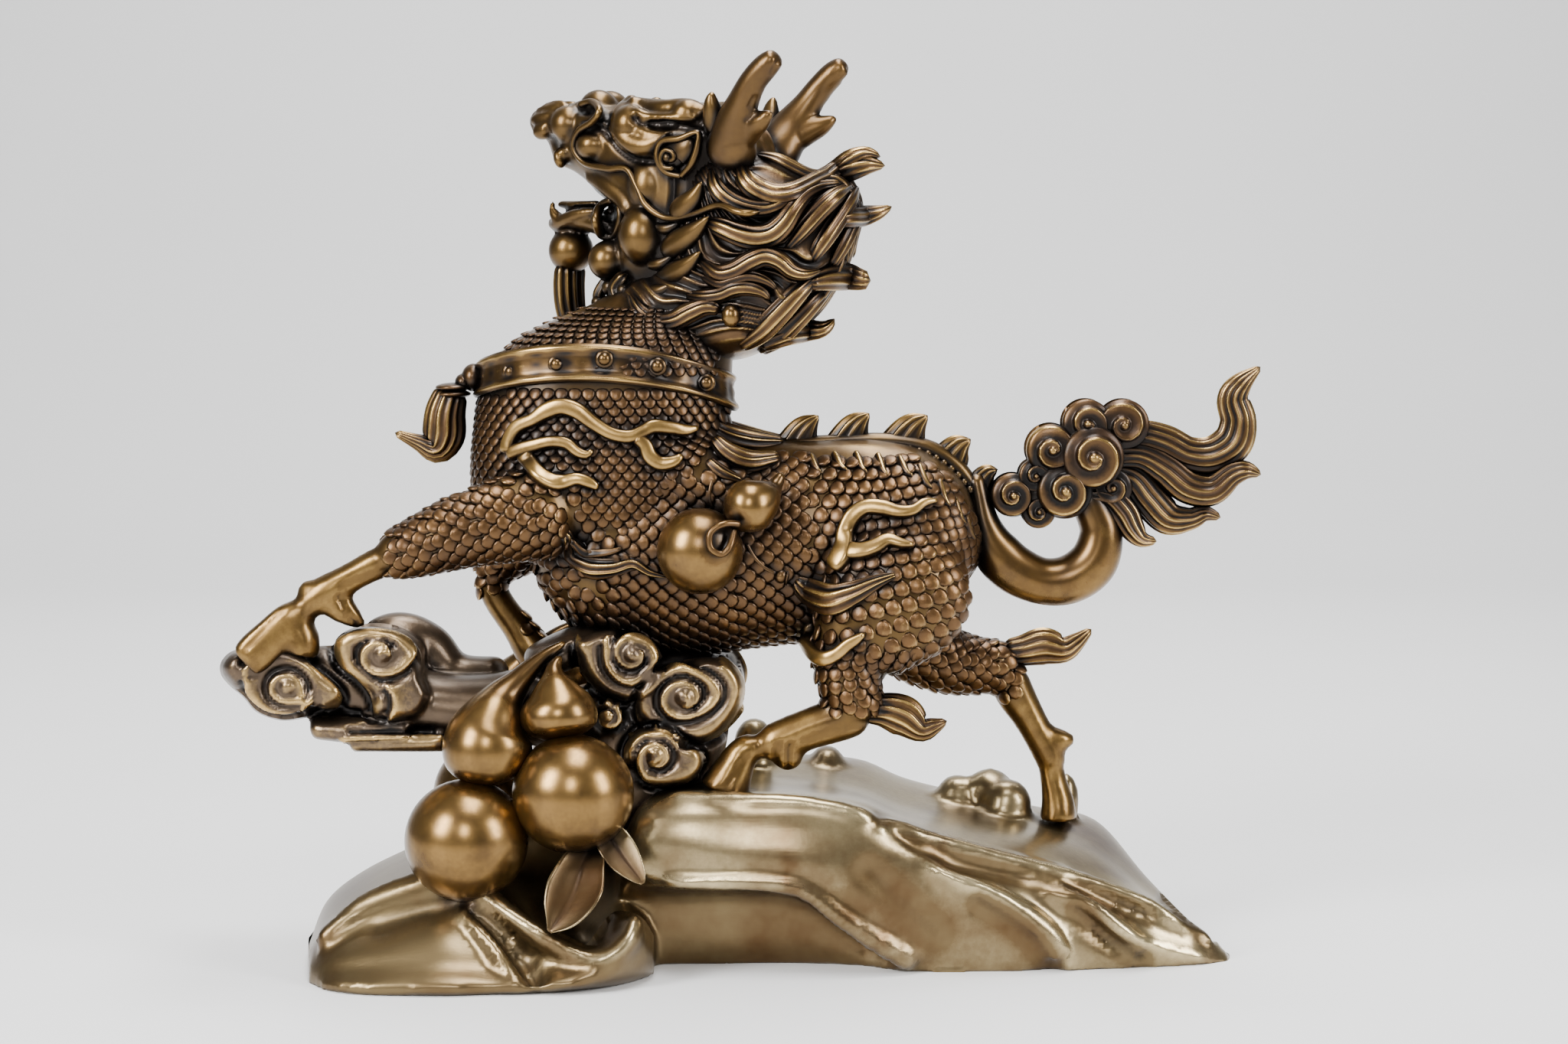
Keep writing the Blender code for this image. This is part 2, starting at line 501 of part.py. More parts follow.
def hanging_gourd(skin):
    """A gourd on a cord at the flank, with a tassel, on both sides."""
    gourd = [
        ball(-19, 187.5, -45, 19.5, 17, 19.5),
        limb([(-6, 200, -46, 8, 8), (0, 205, -46, 11, 11), (5, 209, -46, 12.3, 12), (11, 213, -44, 9, 9),
              (15.5, 217.5, -41, 4, 4), (19.5, 224, -39, 1.8, 2)]),
        limb([(0, 200, -57, 1.5, 1.5), (-8, 200, -61, 1.5, 1.5), (-14, 196, -62, 1.5, 1.5),
              (-14, 189, -62, 1.5, 1.5), (-9, 186, -62, 1.5, 1.5), (-5, 190, -61, 1.5, 1.5),
              (-3, 198, -57, 1.5, 1.5)], sides=8),
    ]
    cord = [
        skin.ribbon([(-13, 222, 1.3), (-14.5, 214, 1.3), (-13, 207, 1.3)], 1.6),
        skin.ribbon([(2, 192, 1.3), (6, 185, 1.3), (11, 180, 1.3), (17, 177, 1.3)], 1.6),
        skin.ribbon([(16, 176, 3), (22, 175.5, 3.6)], 4),
    ]
    tassel = skin.ribbon(
        [(24, 175, 5), (32, 170, 8.5), (42, 165.5, 9.5), (52, 168.5, 7), (62, 173, 4.5),
         (72.5, 176.5, 1.3)],
        6.5, 9, 0.08,
    )
    elbow = skin.ribbon(
        [(-83, 197, 4), (-79, 187, 6.5), (-70, 180, 6.5), (-59, 180, 5.5), (-50, 182, 4.5), (-42, 178, 3),
         (-33, 176, 1)], 4.5, 9, 0.08,
    )
    return both([*gourd, *cord, tassel, elbow])


def back_leaves(skin):
    """Small pointed tufts that hang in a row under the ridge of the back."""
    roots = ((33, 231, 5, -8), (44, 232, 6, -8), (54, 232, 5, -9), (64, 231, 5, -10), (74, 230, 6, -9),
             (83, 226, 6, -11), (92, 219, 5, -12), (99, 211, 5, -12), (104, 203, 4, -11))
    return both([
        skin.ribbon([(x, z, 2.6), (x + 0.4 * dx, z + 0.5 * dz, 2.2), (x + dx, z + dz, 0.7)], 2.6)
        for x, z, dx, dz in roots
    ])


# The rock, the clouds and the gourds


def sections(stations, around=28, per_span=5):
    """A closed mass from sections at stations along x, each a ring of the same number of (y, z) points."""
    rings = []
    for x, ring in stations:
        looped = np.array([sight(x, z, y) for y, z in [ring[-1], *ring, ring[0], ring[1]]])
        fine = curve(looped, 9)[9:-18]
        rings.append(fine[np.linspace(0, len(fine), around, endpoint=False).round().astype(int)])
    rings = curve(np.array(rings).reshape(len(rings), -1), per_span).reshape(-1, around, 3)
    points = np.vstack([rings[0].mean(0)[None], rings.reshape(-1, 3), rings[-1].mean(0)[None]])
    last, end, faces = len(points) - 1, 1 + (len(rings) - 1) * around, []
    for j in range(around):
        k = (j + 1) % around
        faces.append((0, 1 + k, 1 + j))
        for i in range(len(rings) - 1):
            a, b = 1 + i * around, 1 + (i + 1) * around
            faces.append((a + j, a + k, b + k, b + j))
        faces.append((last, end + j, end + k))
    return points, faces


def slab():
    """The long stone: level across, falling away to the tail end, with a lip that overhangs its foot."""
    return sections([
        (-57, [(50, -12), (50, 36), (10, 48), (-40, 48), (-52, 42), (-50, 33), (-36, 20), (-26, -12)]),
        (-47, [(72, -12), (70, 62), (10, 70), (-44, 66), (-58, 52), (-55, 33), (-38, 24), (-25, -12)]),
        (-30, [(80, -12), (77, 80), (10, 80), (-46, 72), (-61, 54), (-58, 32), (-38, 25), (-23, -12)]),
        (0, [(84, -12), (81, 86), (10, 80), (-46, 72), (-61, 52), (-60, 32), (-38, 25), (-22, -12)]),
        (30, [(86, -12), (83, 87), (10, 78), (-46, 71), (-62, 50), (-61, 29), (-38, 22), (-22, -12)]),
        (56, [(88, -12), (85, 85), (10, 74), (-46, 67), (-61, 40), (-58, 12), (-36, 6), (-26, -12)]),
        (76, [(89, -12), (86, 77), (10, 66), (-44, 57), (-57, 30), (-54, 2), (-44, -6), (-36, -12)]),
        (104, [(89, -12), (86, 70), (10, 61), (-40, 46), (-52, 22), (-50, -2), (-46, -10), (-38, -12)]),
        (140, [(88, -12), (84, 63), (10, 56), (-36, 38), (-47, 16), (-48, -4), (-44, -11), (-34, -12)]),
        (166, [(82, -12), (78, 58), (10, 46), (-32, 27), (-43, 12), (-45, -4), (-42, -11), (-30, -12)]),
        (190, [(50, -12), (44, 32), (2, 26), (-30, 19), (-39, 8), (-41, -4), (-38, -11), (-26, -12)]),
        (214, [(12, -12), (8, 8), (-8, 9), (-24, 7), (-31, 2), (-34, -5), (-32, -11), (-22, -12)]),
        (229, [(-10, -12), (-10, -4), (-14, -3), (-20, -3), (-24, -5), (-26, -8), (-24, -11), (-18, -12)]),
    ])


def block():
    """The folded stone at the head end, which stands forward under the gourds."""
    return sections([
        (-203, [(20, -20), (10, 0), (-40, 0), (-60, -5), (-70, -13), (-60, -22)]),
        (-194, [(60, -20), (50, 22), (-46, 10), (-66, 2), (-80, -10), (-76, -22)]),
        (-176, [(72, -20), (64, 36), (-48, 22), (-68, 10), (-86, -8), (-84, -24)]),
        (-150, [(78, -20), (72, 48), (-50, 34), (-68, 18), (-88, -6), (-86, -24)]),
        (-134, [(80, -20), (76, 56), (-50, 37), (-68, 20), (-88, -6), (-86, -24)]),
        (-116, [(80, -20), (78, 64), (-48, 30), (-68, 10), (-86, -8), (-84, -23)]),
        (-96, [(80, -20), (78, 72), (-44, 14), (-70, 0), (-87, -10), (-84, -22)]),
        (-76, [(78, -20), (76, 76), (-40, 8), (-70, -1), (-87, -8), (-82, -20)]),
        (-60, [(60, -18), (58, 72), (-44, 18), (-68, 18), (-85, 4), (-76, -18)]),
        (-47, [(0, -14), (0, 20), (-48, 14), (-64, 14), (-77, 3), (-66, -14)]),
        (-41, [(-10, -12), (-10, 0), (-46, 6), (-58, 6), (-66, 0), (-58, -11)]),
    ], 22)


def rock():
    core = limb([(-120, 6, 8, 24, 56), (-60, 10, 18, 24, 56), (10, 10, 24, 26, 56), (60, 8, 24, 24, 56)],
                (0.3, 0.3), sides=24)
    folds = [
        limb([(-198, 0, -66, 5, 5), (-176, 20, -58, 6, 6), (-150, 31, -56, 6, 7), (-135, 34, -56, 6, 6),
              (-122, 26, -64, 6, 6), (-106, 12, -74, 6, 5), (-86, 2, -82, 6, 5), (-70, -5, -85, 6, 5),
              (-56, 2, -82, 6, 6), (-48, 14, -72, 5, 6)]),
        limb([(-130, 22, -70, 4, 4), (-119, 6, -80, 5, 4), (-109, -8, -87, 6, 4), (-103, -19, -87, 7, 4)]),
        limb([(-34, 70, -46, 4, 4), (0, 69, -50, 4.5, 5), (30, 68, -50, 4.5, 5), (54, 63, -50, 4.5, 5),
              (68, 58, -48, 3, 4)]),
        limb([(56, 61, -46, 4, 4), (74, 57, -44, 4, 5), (92, 50, -40, 4.5, 5), (120, 42, -36, 5, 6),
              (160, 31, -32, 5, 6), (195, 17, -30, 5, 6), (220, 2, -24, 4, 5)]),
        limb([(78, 50, -48, 3, 3), (100, 33, -52, 5, 4), (118, 22, -52, 5.5, 5), (138, 8, -50, 6, 5),
              (148, -7, -48, 6, 5)]),
        limb([(132, 34, -40, 4, 4), (156, 23, -45, 5, 4), (176, 10, -44, 5, 4), (188, -4, -42, 5, 4)]),
        limb([(-36, 33, -58, 3.5, 4), (0, 32, -60, 4, 4), (28, 28, -61, 4, 4), (46, 16, -60, 5, 4),
              (64, 4, -56, 6, 4), (82, -7, -50, 6, 4)]),
    ]
    far_stone = [
        ball(101, 73, 48, 10, 12, 10), ball(116, 74, 46, 12, 13, 12), ball(124, 69, 36, 12, 12, 12),
        ball(152, 70, 46, 6, 8, 14), ball(40, 86, 54, 9, 14, 11), ball(6, 96, 42, 10, 12, 14),
    ]
    return [core, slab(), block(), *folds, *far_stone]


def clouds():
    """The cloud bank under the belly, and the arm of cloud that the leading hoof stands on."""
    bank = [
        limb([(-66, 50, 0, 34, 46), (-58, 80, 0, 42, 44), (-46, 104, 0, 44, 40), (-42, 124, 0, 40, 36),
              (-46, 142, 0, 32, 30)], (0.3, 0.5), sides=28),
        limb([(-30, 120, -22, 20, 14), (-14, 121, -22, 15, 12), (-4, 122, -20, 7, 8)]),
        limb([(-100, 132, -20, 9, 20), (-80, 142, -16, 9, 22), (-64, 146, -10, 8, 22)]),
    ]
    arm = [
        limb([(-86, 116, -14, 22, 26), (-116, 114, -16, 18, 24), (-146, 116, -18, 17, 22),
              (-172, 124, -20, 20, 22), (-196, 127, -22, 19, 22), (-216, 126, -24, 17, 20),
              (-232, 130, -24, 11, 15), (-242, 134, -22, 5, 8)],
             (0.3, 0.6), sides=24),
        limb([(-176, 142, -8, 10, 12), (-160, 146, 0, 13, 14), (-146, 142, 4, 12, 14),
              (-132, 131, 4, 9, 14), (-108, 129, 2, 9, 16)], sides=16),
        limb([(-201, 105, -26, 5, 12), (-180, 104, -26, 6, 15), (-150, 104, -26, 6, 16)]),
        limb([(-182, 98, -28, 4, 12), (-160, 98.5, -28, 4.5, 14), (-136, 99, -28, 5, 14)], (0.5, 0.3)),
        limb([(-176, 142, -34, 12, 8), (-164, 138, -36, 12, 8), (-160, 134, -36, 8, 7)]),
    ]
    y = -45
    strokes = [
        [(-223, 137, y, 2, 2), (-212, 141, y, 2, 2), (-202, 138, y, 2, 2), (-194, 130, y, 2, 2),
         (-188, 122, y, 2, 2), (-187, 116, y, 2, 2), (-192, 111.5, y + 2, 2, 2)],
        [(-190, 140, y, 2, 2), (-187, 133, y, 2, 2), (-179, 127, y, 2, 2), (-173, 120, y, 2, 2),
         (-171, 113, y, 2, 2), (-175, 108, y + 2, 2, 2)],
        [(-179, 136, y, 2, 2), (-175, 130, y, 2, 2), (-168, 122, y, 2, 2), (-163, 114, y, 2, 2),
         (-166, 107.5, y + 2, 2, 2)],
        [(-170, 105, y + 2, 1.8, 2), (-160, 103.5, y + 2, 1.8, 2), (-146, 104.5, y + 2, 1.8, 2),
         (-143, 108, y + 2, 1.8, 2), (-149, 112, y + 2, 1.8, 2), (-152, 118, y + 2, 1.8, 2),
         (-147, 122.5, y + 3, 1.8, 2), (-134, 123.5, y + 4, 1.8, 2), (-120, 123.5, y + 6, 1.8, 2)],
        [(-78, 142, -40, 2, 2), (-76, 132, -43, 2, 2), (-70, 124, -44, 2, 2), (-60, 118.5, -45, 2, 2),
         (-49, 118, -45, 2, 2)],
    ]
    scrolls = [
        spiral(-212, 126.5, y, 10, 2, 1.4, 20, lead=[(-223, 137), (-230, 128), (-224, 117), (-212, 114),
                                                     (-203, 118)],
               clockwise=False),
        spiral(-169, 139, y, 9.5, 2, 1.3, 250, clockwise=False,
               lead=[(-190, 140), (-184, 147), (-172, 149.5), (-158, 147), (-152, 140), (-158, 133),
                     (-166, 129.5)]),
        spiral(-50, 138, -47, 9.5, 2, 1.3, 250, clockwise=False,
               lead=[(-62, 143), (-62, 134), (-57, 128)]),
        spiral(-26, 120, -41, 9.5, 2, 1.4, 200, clockwise=False,
               lead=[(-44, 107), (-47.5, 116), (-42, 125.5), (-31, 133.5), (-19, 130.5), (-11, 122),
                     (-16, 114), (-26, 109.5), (-34, 112)]),
        spiral(-42, 91, -46, 8.5, 1.8, 1.3, 200, clockwise=False,
               lead=[(-24, 87), (-22, 93), (-31, 96), (-38, 100.5), (-48, 98), (-51.5, 91)]),
        spiral(-62, 109, -44, 5, 1.5, 1.2, 90),
    ]
    plates = [
        ball(-212, 126, -40, 17, 6, 15), ball(-168, 139, -40, 16, 6, 11), ball(-50, 136, -41, 14, 7, 12),
        ball(-28, 120, -34, 20, 8, 13), ball(-40, 91, -40, 14, 7, 10), ball(-62, 109, -38, 8, 7, 8),
    ]
    wires = [limb(s, sides=8, per_span=4) for s in strokes]
    front = [*wires, *(s for pair in scrolls for s in pair), *plates]
    rear = [mirrored(s) for s in [*scrolls[2], *scrolls[3], *scrolls[4], plates[2], plates[3], plates[4]]]
    return [*bank, *arm, *front, *rear]


def gourds():
    """Bottle gourds that lean on the rock, with their leaves."""
    left = limb([(-129, 30, -60, 16, 16), (-129, 42, -60, 26, 26), (-128.5, 55, -60, 28, 28),
                 (-127, 68, -59, 25, 25), (-123, 80, -57, 17.5, 17), (-119, 88, -56, 18.5, 18),
                 (-117, 97, -54, 19.5, 18.5), (-114, 108, -52, 16.5, 16), (-110, 118, -49, 9, 9),
                 (-103, 128, -46, 4.5, 5), (-93, 138, -43, 2.6, 3),
                 (-82, 145, -40, 1.4, 2)], (0.5, 0.8), sides=28)
    right = limb([(-77, 57, -60, 12, 12), (-77, 68, -60, 24, 24), (-77, 79, -60, 26, 26),
                  (-78, 90, -59, 22.5, 22), (-81, 99, -57, 13.5, 13), (-83, 105, -56, 14.5, 14),
                  (-84.5, 112, -55, 16, 15.5), (-85.5, 120, -54, 13, 12.5), (-87, 128, -52, 6.5, 6.5),
                  (-88, 134, -50, 3.4, 3.6), (-84, 140, -48, 1.6, 2)], (0.5, 0.8), sides=28)
    leaves = [
        limb([(-68, 52, -62, 4, 3), (-74, 40, -72, 9, 3), (-78, 26, -82, 12, 3), (-85, 14, -88, 8, 3),
              (-88, 9, -89, 2, 2)]),
        limb([(-70, 57, -60, 4, 3), (-60, 51, -66, 7, 3), (-55, 42, -70, 7, 3), (-48, 33, -74, 2, 2)]),
    ]
    far = [mirrored(left), mirrored(right)]
    return [left, right, *leaves, *far]


# Fusing


def joined(shells):
    """Every shell in one pair of lists."""
    points, faces, base = [], [], 0
    for p, f in shells:
        points.append(p)
        faces += [tuple(i + base for i in g) for g in f]
        base += len(p)
    return np.vstack(points), faces


def brass():
    material = bpy.data.materials.new("antique_brass")
    material.use_nodes = True
    shader = material.node_tree.nodes["Principled BSDF"]
    shader.inputs["Base Color"].default_value = BRASS
    shader.inputs["Metallic"].default_value = 1.0
    shader.inputs["Roughness"].default_value = 0.38
    return material


def settle(made):
    """Works the object's modifiers into its mesh."""
    graph = bpy.context.evaluated_depsgraph_get()
    mesh = bpy.data.meshes.new_from_object(made.evaluated_get(graph))
    made.modifiers.clear()
    made.data = mesh


def spare_the_carving(figure, plain, carved):
    """Marks the plain surfaces, which the thinning may use more than the carved ones."""
    trees = []
    for shells in (plain, carved):
        points, faces = joined(shells)
        trees.append(BVHTree.FromPolygons([Vector(p) for p in points], faces))
    group = figure.vertex_groups.new(name="plain")
    for vertex in figure.data.vertices:
        to_plain = trees[0].find_nearest(vertex.co)[3]
        to_carved = trees[1].find_nearest(vertex.co)[3]
        group.add([vertex.index], 1.0 if to_plain + PLAIN_MARGIN < to_carved else 0.1, "REPLACE")
    return group.name


def keep_one_body(figure):
    """Drops any crumb that the thinning has cut loose, and leaves the one cast body."""
    mesh = bmesh.new()
    mesh.from_mesh(figure.data)
    left, bodies = set(mesh.verts), []
    while left:
        body, front = set(), [left.pop()]
        while front:
            vertex = front.pop()
            body.add(vertex)
            near = {e.other_vert(vertex) for e in vertex.link_edges} & left
            left -= near
            front.extend(near)
        bodies.append(body)
    largest = max(bodies, key=len)
    bmesh.ops.delete(mesh, geom=[v for v in mesh.verts if v not in largest], context="VERTS")
    mesh.to_mesh(figure.data)
    mesh.free()


def fuse(plain, carved):
    """One skin round all the shells, thinned to the triangles wanted and cut flat below. It works in
    millimetres until the last step."""
    points, faces = joined([*plain, *carved])
    mesh = bpy.data.meshes.new("qilin_figure")
    mesh.from_pydata([tuple(p) for p in points], [], faces)
    figure = bpy.data.objects.new("qilin_figure", mesh)
    bpy.context.scene.collection.objects.link(figure)
    skin = figure.modifiers.new("skin", "REMESH")
    skin.mode = "VOXEL"
    skin.voxel_size = VOXEL
    soften = figure.modifiers.new("soften", "SMOOTH")
    soften.factor = 0.5
    soften.iterations = 2
    settle(figure)

    thin = figure.modifiers.new("thin", "DECIMATE")
    thin.ratio = TRIANGLES_WANTED / (2 * len(figure.data.polygons))
    thin.vertex_group = spare_the_carving(figure, plain, carved)
    thin.vertex_group_factor = SPARE_FACTOR
    settle(figure)
    keep_one_body(figure)

    bpy.ops.mesh.primitive_cube_add(size=1, location=(0, 0, -100))
    ground = bpy.context.object
    ground.scale = (800, 600, 200)
    flat = figure.modifiers.new("flat", "BOOLEAN")
    flat.operation = "DIFFERENCE"
    flat.solver = "EXACT"
    flat.object = ground
    settle(figure)
    keep_one_body(figure)
    bpy.data.objects.remove(ground, do_unlink=True)
    figure.data.transform(Matrix.Scale(MM, 4))
    figure.data.materials.clear()
    figure.data.materials.append(brass())
    return figure


def main():
    for old in list(bpy.data.objects):
        bpy.data.objects.remove(old, do_unlink=True)
    flesh = [*torso(), *near_front_leg(), *far_front_leg(), *near_hind_leg(), *far_hind_leg()]
    skin = Skin(flesh)
    carved = [*tail(), *spines(), *withers(), *belt_and_tassel(), *head(), *mane()]
    relief = [*flames(skin), *hanging_gourd(skin), *back_leaves(skin)]
    fuse([*flesh, *rock(), *gourds()], [*carved, *relief, *clouds()])


main()
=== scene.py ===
import math

import bpy
import numpy as np
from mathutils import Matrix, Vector
from mathutils.bvhtree import BVHTree


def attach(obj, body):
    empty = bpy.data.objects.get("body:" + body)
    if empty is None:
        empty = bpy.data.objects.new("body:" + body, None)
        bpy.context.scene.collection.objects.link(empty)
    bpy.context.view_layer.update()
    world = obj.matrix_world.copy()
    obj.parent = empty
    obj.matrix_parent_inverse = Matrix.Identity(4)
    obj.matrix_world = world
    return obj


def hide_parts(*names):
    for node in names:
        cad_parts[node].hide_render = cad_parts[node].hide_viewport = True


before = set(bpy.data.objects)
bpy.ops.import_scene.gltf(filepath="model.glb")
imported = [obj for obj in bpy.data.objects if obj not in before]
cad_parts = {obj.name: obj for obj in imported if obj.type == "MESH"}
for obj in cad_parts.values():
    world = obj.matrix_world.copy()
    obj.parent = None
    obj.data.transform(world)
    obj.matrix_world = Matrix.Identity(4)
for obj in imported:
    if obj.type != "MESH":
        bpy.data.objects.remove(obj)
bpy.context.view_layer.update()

# A cast brass qilin. Everything below is worked out in millimetres and written to the meshes in metres.
# Stations are given as the camera sees them on the middle plane y = 0, and sight() moves each one along
# its line of sight to its own depth y. The near side is -y.

mm = 0.001
eye = dict(x=20.0, back=1500.0, z=330.0, aimZ=201.0, perPixel=0.355, pixels=2048, sensor=36.0)
headPose = dict(turn=math.radians(26), pivotX=-5.0)  # the head turns away from the camera
yAxis = np.array([0.0, 1.0, 0.0])
headSide = np.array([math.sin(headPose["turn"]), math.cos(headPose["turn"]), 0.0])


# Placing

def sight(x, z, y):  # the point at depth y that is seen at (x, z) of the middle plane
    reach = (eye["back"] + np.asarray(y, float)) / eye["back"]
    return np.stack(np.broadcast_arrays(eye["x"] + (x - eye["x"]) * reach, y, eye["z"] + (z - eye["z"]) * reach),
                    -1)


def headDepth(x, out):  # depth of a point that lies `out` to the near side of the turned head's middle plane
    along = headPose["pivotX"] - (x + out * math.sin(headPose["turn"]))
    return along * math.tan(headPose["turn"]) - out * math.cos(headPose["turn"])


def spline(knots, count):  # Catmull-Rom through rows of any width, `count` rows out
    knots = np.asarray(knots, float)
    ends = np.vstack([2 * knots[0] - knots[1], knots, 2 * knots[-1] - knots[-2]])
    at = np.linspace(0, len(knots) - 1, count)
    span = np.minimum(at.astype(int), len(knots) - 2)
    t = (at - span)[:, None]
    a, b, c, d = (ends[span + k] for k in range(4))
    return 0.5 * (2 * b + (c - a) * t + (2 * a - 5 * b + 4 * c - d) * t**2 + (3 * b - a - 3 * c + d) * t**3)


def evenly(knots, step):  # the same curve with its rows an even step apart along its first three columns
    fine = spline(knots, 24 * len(knots))
    along = np.concatenate([[0], np.cumsum(np.linalg.norm(np.diff(fine[:, :3], axis=0), axis=1))])
    stops = np.linspace(0, along[-1], max(6, int(along[-1] / step) + 1))
    return np.stack([np.interp(stops, along, column) for column in fine.T], 1)


def unit(rows):
    return rows / np.maximum(np.linalg.norm(rows, axis=-1, keepdims=True), 1e-9)


# Shells: closed surfaces as arrays of points, quads, triangles and a relief value, 0 in a cut and 1 on a crest

def facedOut(shell):  # turns the faces round where the signed volume is negative
    p = shell["points"]
    faces = np.concatenate([shell["quads"][:, :3], shell["quads"][:, [0, 2, 3]], shell["tris"]])
    a, b, c = (p[faces[:, k]] for k in range(3))
    if np.einsum("ij,ij->i", a, np.cross(b, c)).sum() < 0:
        shell["quads"] = shell["quads"][:, ::-1]
        shell["tris"] = shell["tris"][:, ::-1]
    return shell


def closed(rings, first, last, relief):  # rings of points, one after another, closed by a pole at each end
    count, sides = rings.shape[:2]
    points = np.concatenate([first[None], rings.reshape(-1, 3), last[None]])
    j = np.arange(sides)
    k = (j + 1) % sides
    start = 1 + np.arange(count - 1)[:, None] * sides
    quads = np.stack([start + j, start + k, start + sides + k, start + sides + j], -1).reshape(-1, 4)
    end = 1 + (count - 1) * sides
    tris = np.concatenate([
        np.stack([0 * j, 1 + k, 1 + j], 1), np.stack([0 * j + len(points) - 1, end + j, end + k], 1)])
    relief = np.broadcast_to(relief, (count, sides))
    relief = np.concatenate([[relief[0].mean()], relief.ravel(), [relief[-1].mean()]])
    return facedOut(dict(points=points, quads=quads, tris=tris, relief=relief))


def hoop(rings, relief):  # rings of points that close on themselves, as in a collar
    count, sides = rings.shape[:2]
    i = np.arange(count)[:, None] * sides
    j = np.arange(sides)
    k = (j + 1) % sides
    after = (i + sides) % (count * sides)
    quads = np.stack([i + j, i + k, after + k, after + j], -1).reshape(-1, 4)
    relief = np.broadcast_to(relief, (count, sides)).ravel()
    return facedOut(dict(points=rings.reshape(-1, 3), quads=quads, tris=np.zeros((0, 3), int), relief=relief))


def equalTurns(aspect, sides):  # angles that part an ellipse of this aspect into equal arcs
    t = np.linspace(0, math.tau, 721)
    arc = np.concatenate([[0], np.cumsum(np.hypot(np.diff(aspect * np.cos(t)), np.diff(np.sin(t))))])
    return np.interp(np.linspace(0, arc[-1], sides, endpoint=False), arc, t)


def sweep(path, side, sides, strands=0, cut=0.0, boxy=1.0, blunt=(0.9, 0.9), level=False):
    # an oval carried along a path: columns are the centre, the half width in the bend and the half width along
    # `side`. Strands are flutes with narrow crests, cut this many mm deep. A boxy below 1 squares the oval, and
    # level keeps every oval flat instead of square to the path.
    along = np.concatenate([[0], np.cumsum(np.linalg.norm(np.diff(path[:, :3], axis=0), axis=1))])
    draw = np.ones(len(path))
    for share, gap in ((blunt[0], along), (blunt[1], along[-1] - along)):
        if share:
            near = np.clip(gap / (share * np.maximum(path[:, 3], 0.3)), 0, 1)
            draw = draw * (np.sqrt(1 - (1 - near) ** 2) * 0.97 + 0.03)
    across, deep = path[:, 3] * draw, path[:, 4] * draw
    tangent = np.tile([0.0, 0, 1], (len(path), 1)) if level else unit(np.gradient(path[:, :3], axis=0))
    side = np.broadcast_to(side, tangent.shape)
    lateral = unit(side - (side * tangent).sum(1, keepdims=True) * tangent)
    normal = np.cross(tangent, lateral)
    turn = equalTurns(float(np.median(path[:, 3]) / max(np.median(path[:, 4]), 0.1)), sides)
    share = np.linspace(0, math.tau, sides, endpoint=False)
    relief = np.full((len(path), sides), 0.55)
    scale = np.ones((len(path), sides))
    if strands:
        crest = (0.5 + 0.5 * np.cos(strands * share)) ** 1.5
        uneven = 0.75 + 0.25 * np.cos(2.0 * share + 1.0) + 0.25 * np.cos(strands / 2 * share)
        depth = np.clip(cut / np.maximum(np.minimum(across, deep), 0.4), 0, 0.26)[:, None]
        scale = 1 - depth * (1 - crest) * uneven
        relief = np.broadcast_to(0.08 + 0.92 * crest, scale.shape)
    c = np.sign(np.cos(turn)) * np.abs(np.cos(turn)) ** boxy
    s = np.sign(np.sin(turn)) * np.abs(np.sin(turn)) ** boxy
    rings = (path[:, None, :3] + normal[:, None] * (across[:, None] * c * scale)[..., None]
             + lateral[:, None] * (deep[:, None] * s * scale)[..., None])
    return closed(rings, path[0, :3], path[-1, :3], relief)


def limb(stations, sides=24, step=1.8, side=yAxis, **more):  # stations: x, z, depth, half width, half depth
    x, z, y, across, deep = np.array(stations, float).T
    rows = np.column_stack([sight(x, z, y), across, deep])
    return sweep(evenly(rows, step), side, sides, **more)


def lock(stations, thick, strands=11, cut=1.5, sides=66, step=1.15, side=yAxis):
    # stations: x, z, depth, half width
    rows = [(x, z, y, w, max(0.5, thick * min(1.0, w / 4.5))) for x, z, y, w in stations]
    return limb(rows, sides, step, side, strands=strands, cut=cut, blunt=(0.6, 0.55))


def egg(x, z, y, across, deep=None, tall=None, around=40):  # an ellipsoid: points at equal turns of two angles
    deep, tall = deep or across, tall or across
    up = np.linspace(0, math.pi, around // 2 + 1)[1:-1, None]
    turn = np.linspace(0, math.tau, around, endpoint=False)[None]
    centre = sight(x, z, y)
    rings = centre + np.stack(np.broadcast_arrays(
        across * np.sin(up) * np.cos(turn), deep * np.sin(up) * np.sin(turn), -tall * np.cos(up)), -1)
    pole = np.array([0, 0, tall])
    return closed(rings, centre - pole, centre + pole, 0.55)


def mirrored(shell):  # the far side's copy
    return dict(shell, points=shell["points"] * [1, -1, 1], quads=shell["quads"][:, ::-1],
                tris=shell["tris"][:, ::-1])


def acrossHead(shell):  # the copy on the far side of the turned head
    away = (shell["points"] - [headPose["pivotX"], 0, 0]) @ headSide
    return dict(shell, points=shell["points"] - 2 * away[:, None] * headSide,
                quads=shell["quads"][:, ::-1], tris=shell["tris"][:, ::-1])


def both(shells, other=mirrored):
    return [*shells, *(other(s) for s in shells)]


def joined(shells):
    starts = np.cumsum([0] + [len(s["points"]) for s in shells])
    return dict(
        points=np.concatenate([s["points"] for s in shells]),
        relief=np.concatenate([s["relief"] for s in shells]),
        quads=np.concatenate([s["quads"] + n for s, n in zip(shells, starts)]),
        tris=np.concatenate([s["tris"] + n for s, n in zip(shells, starts)]))


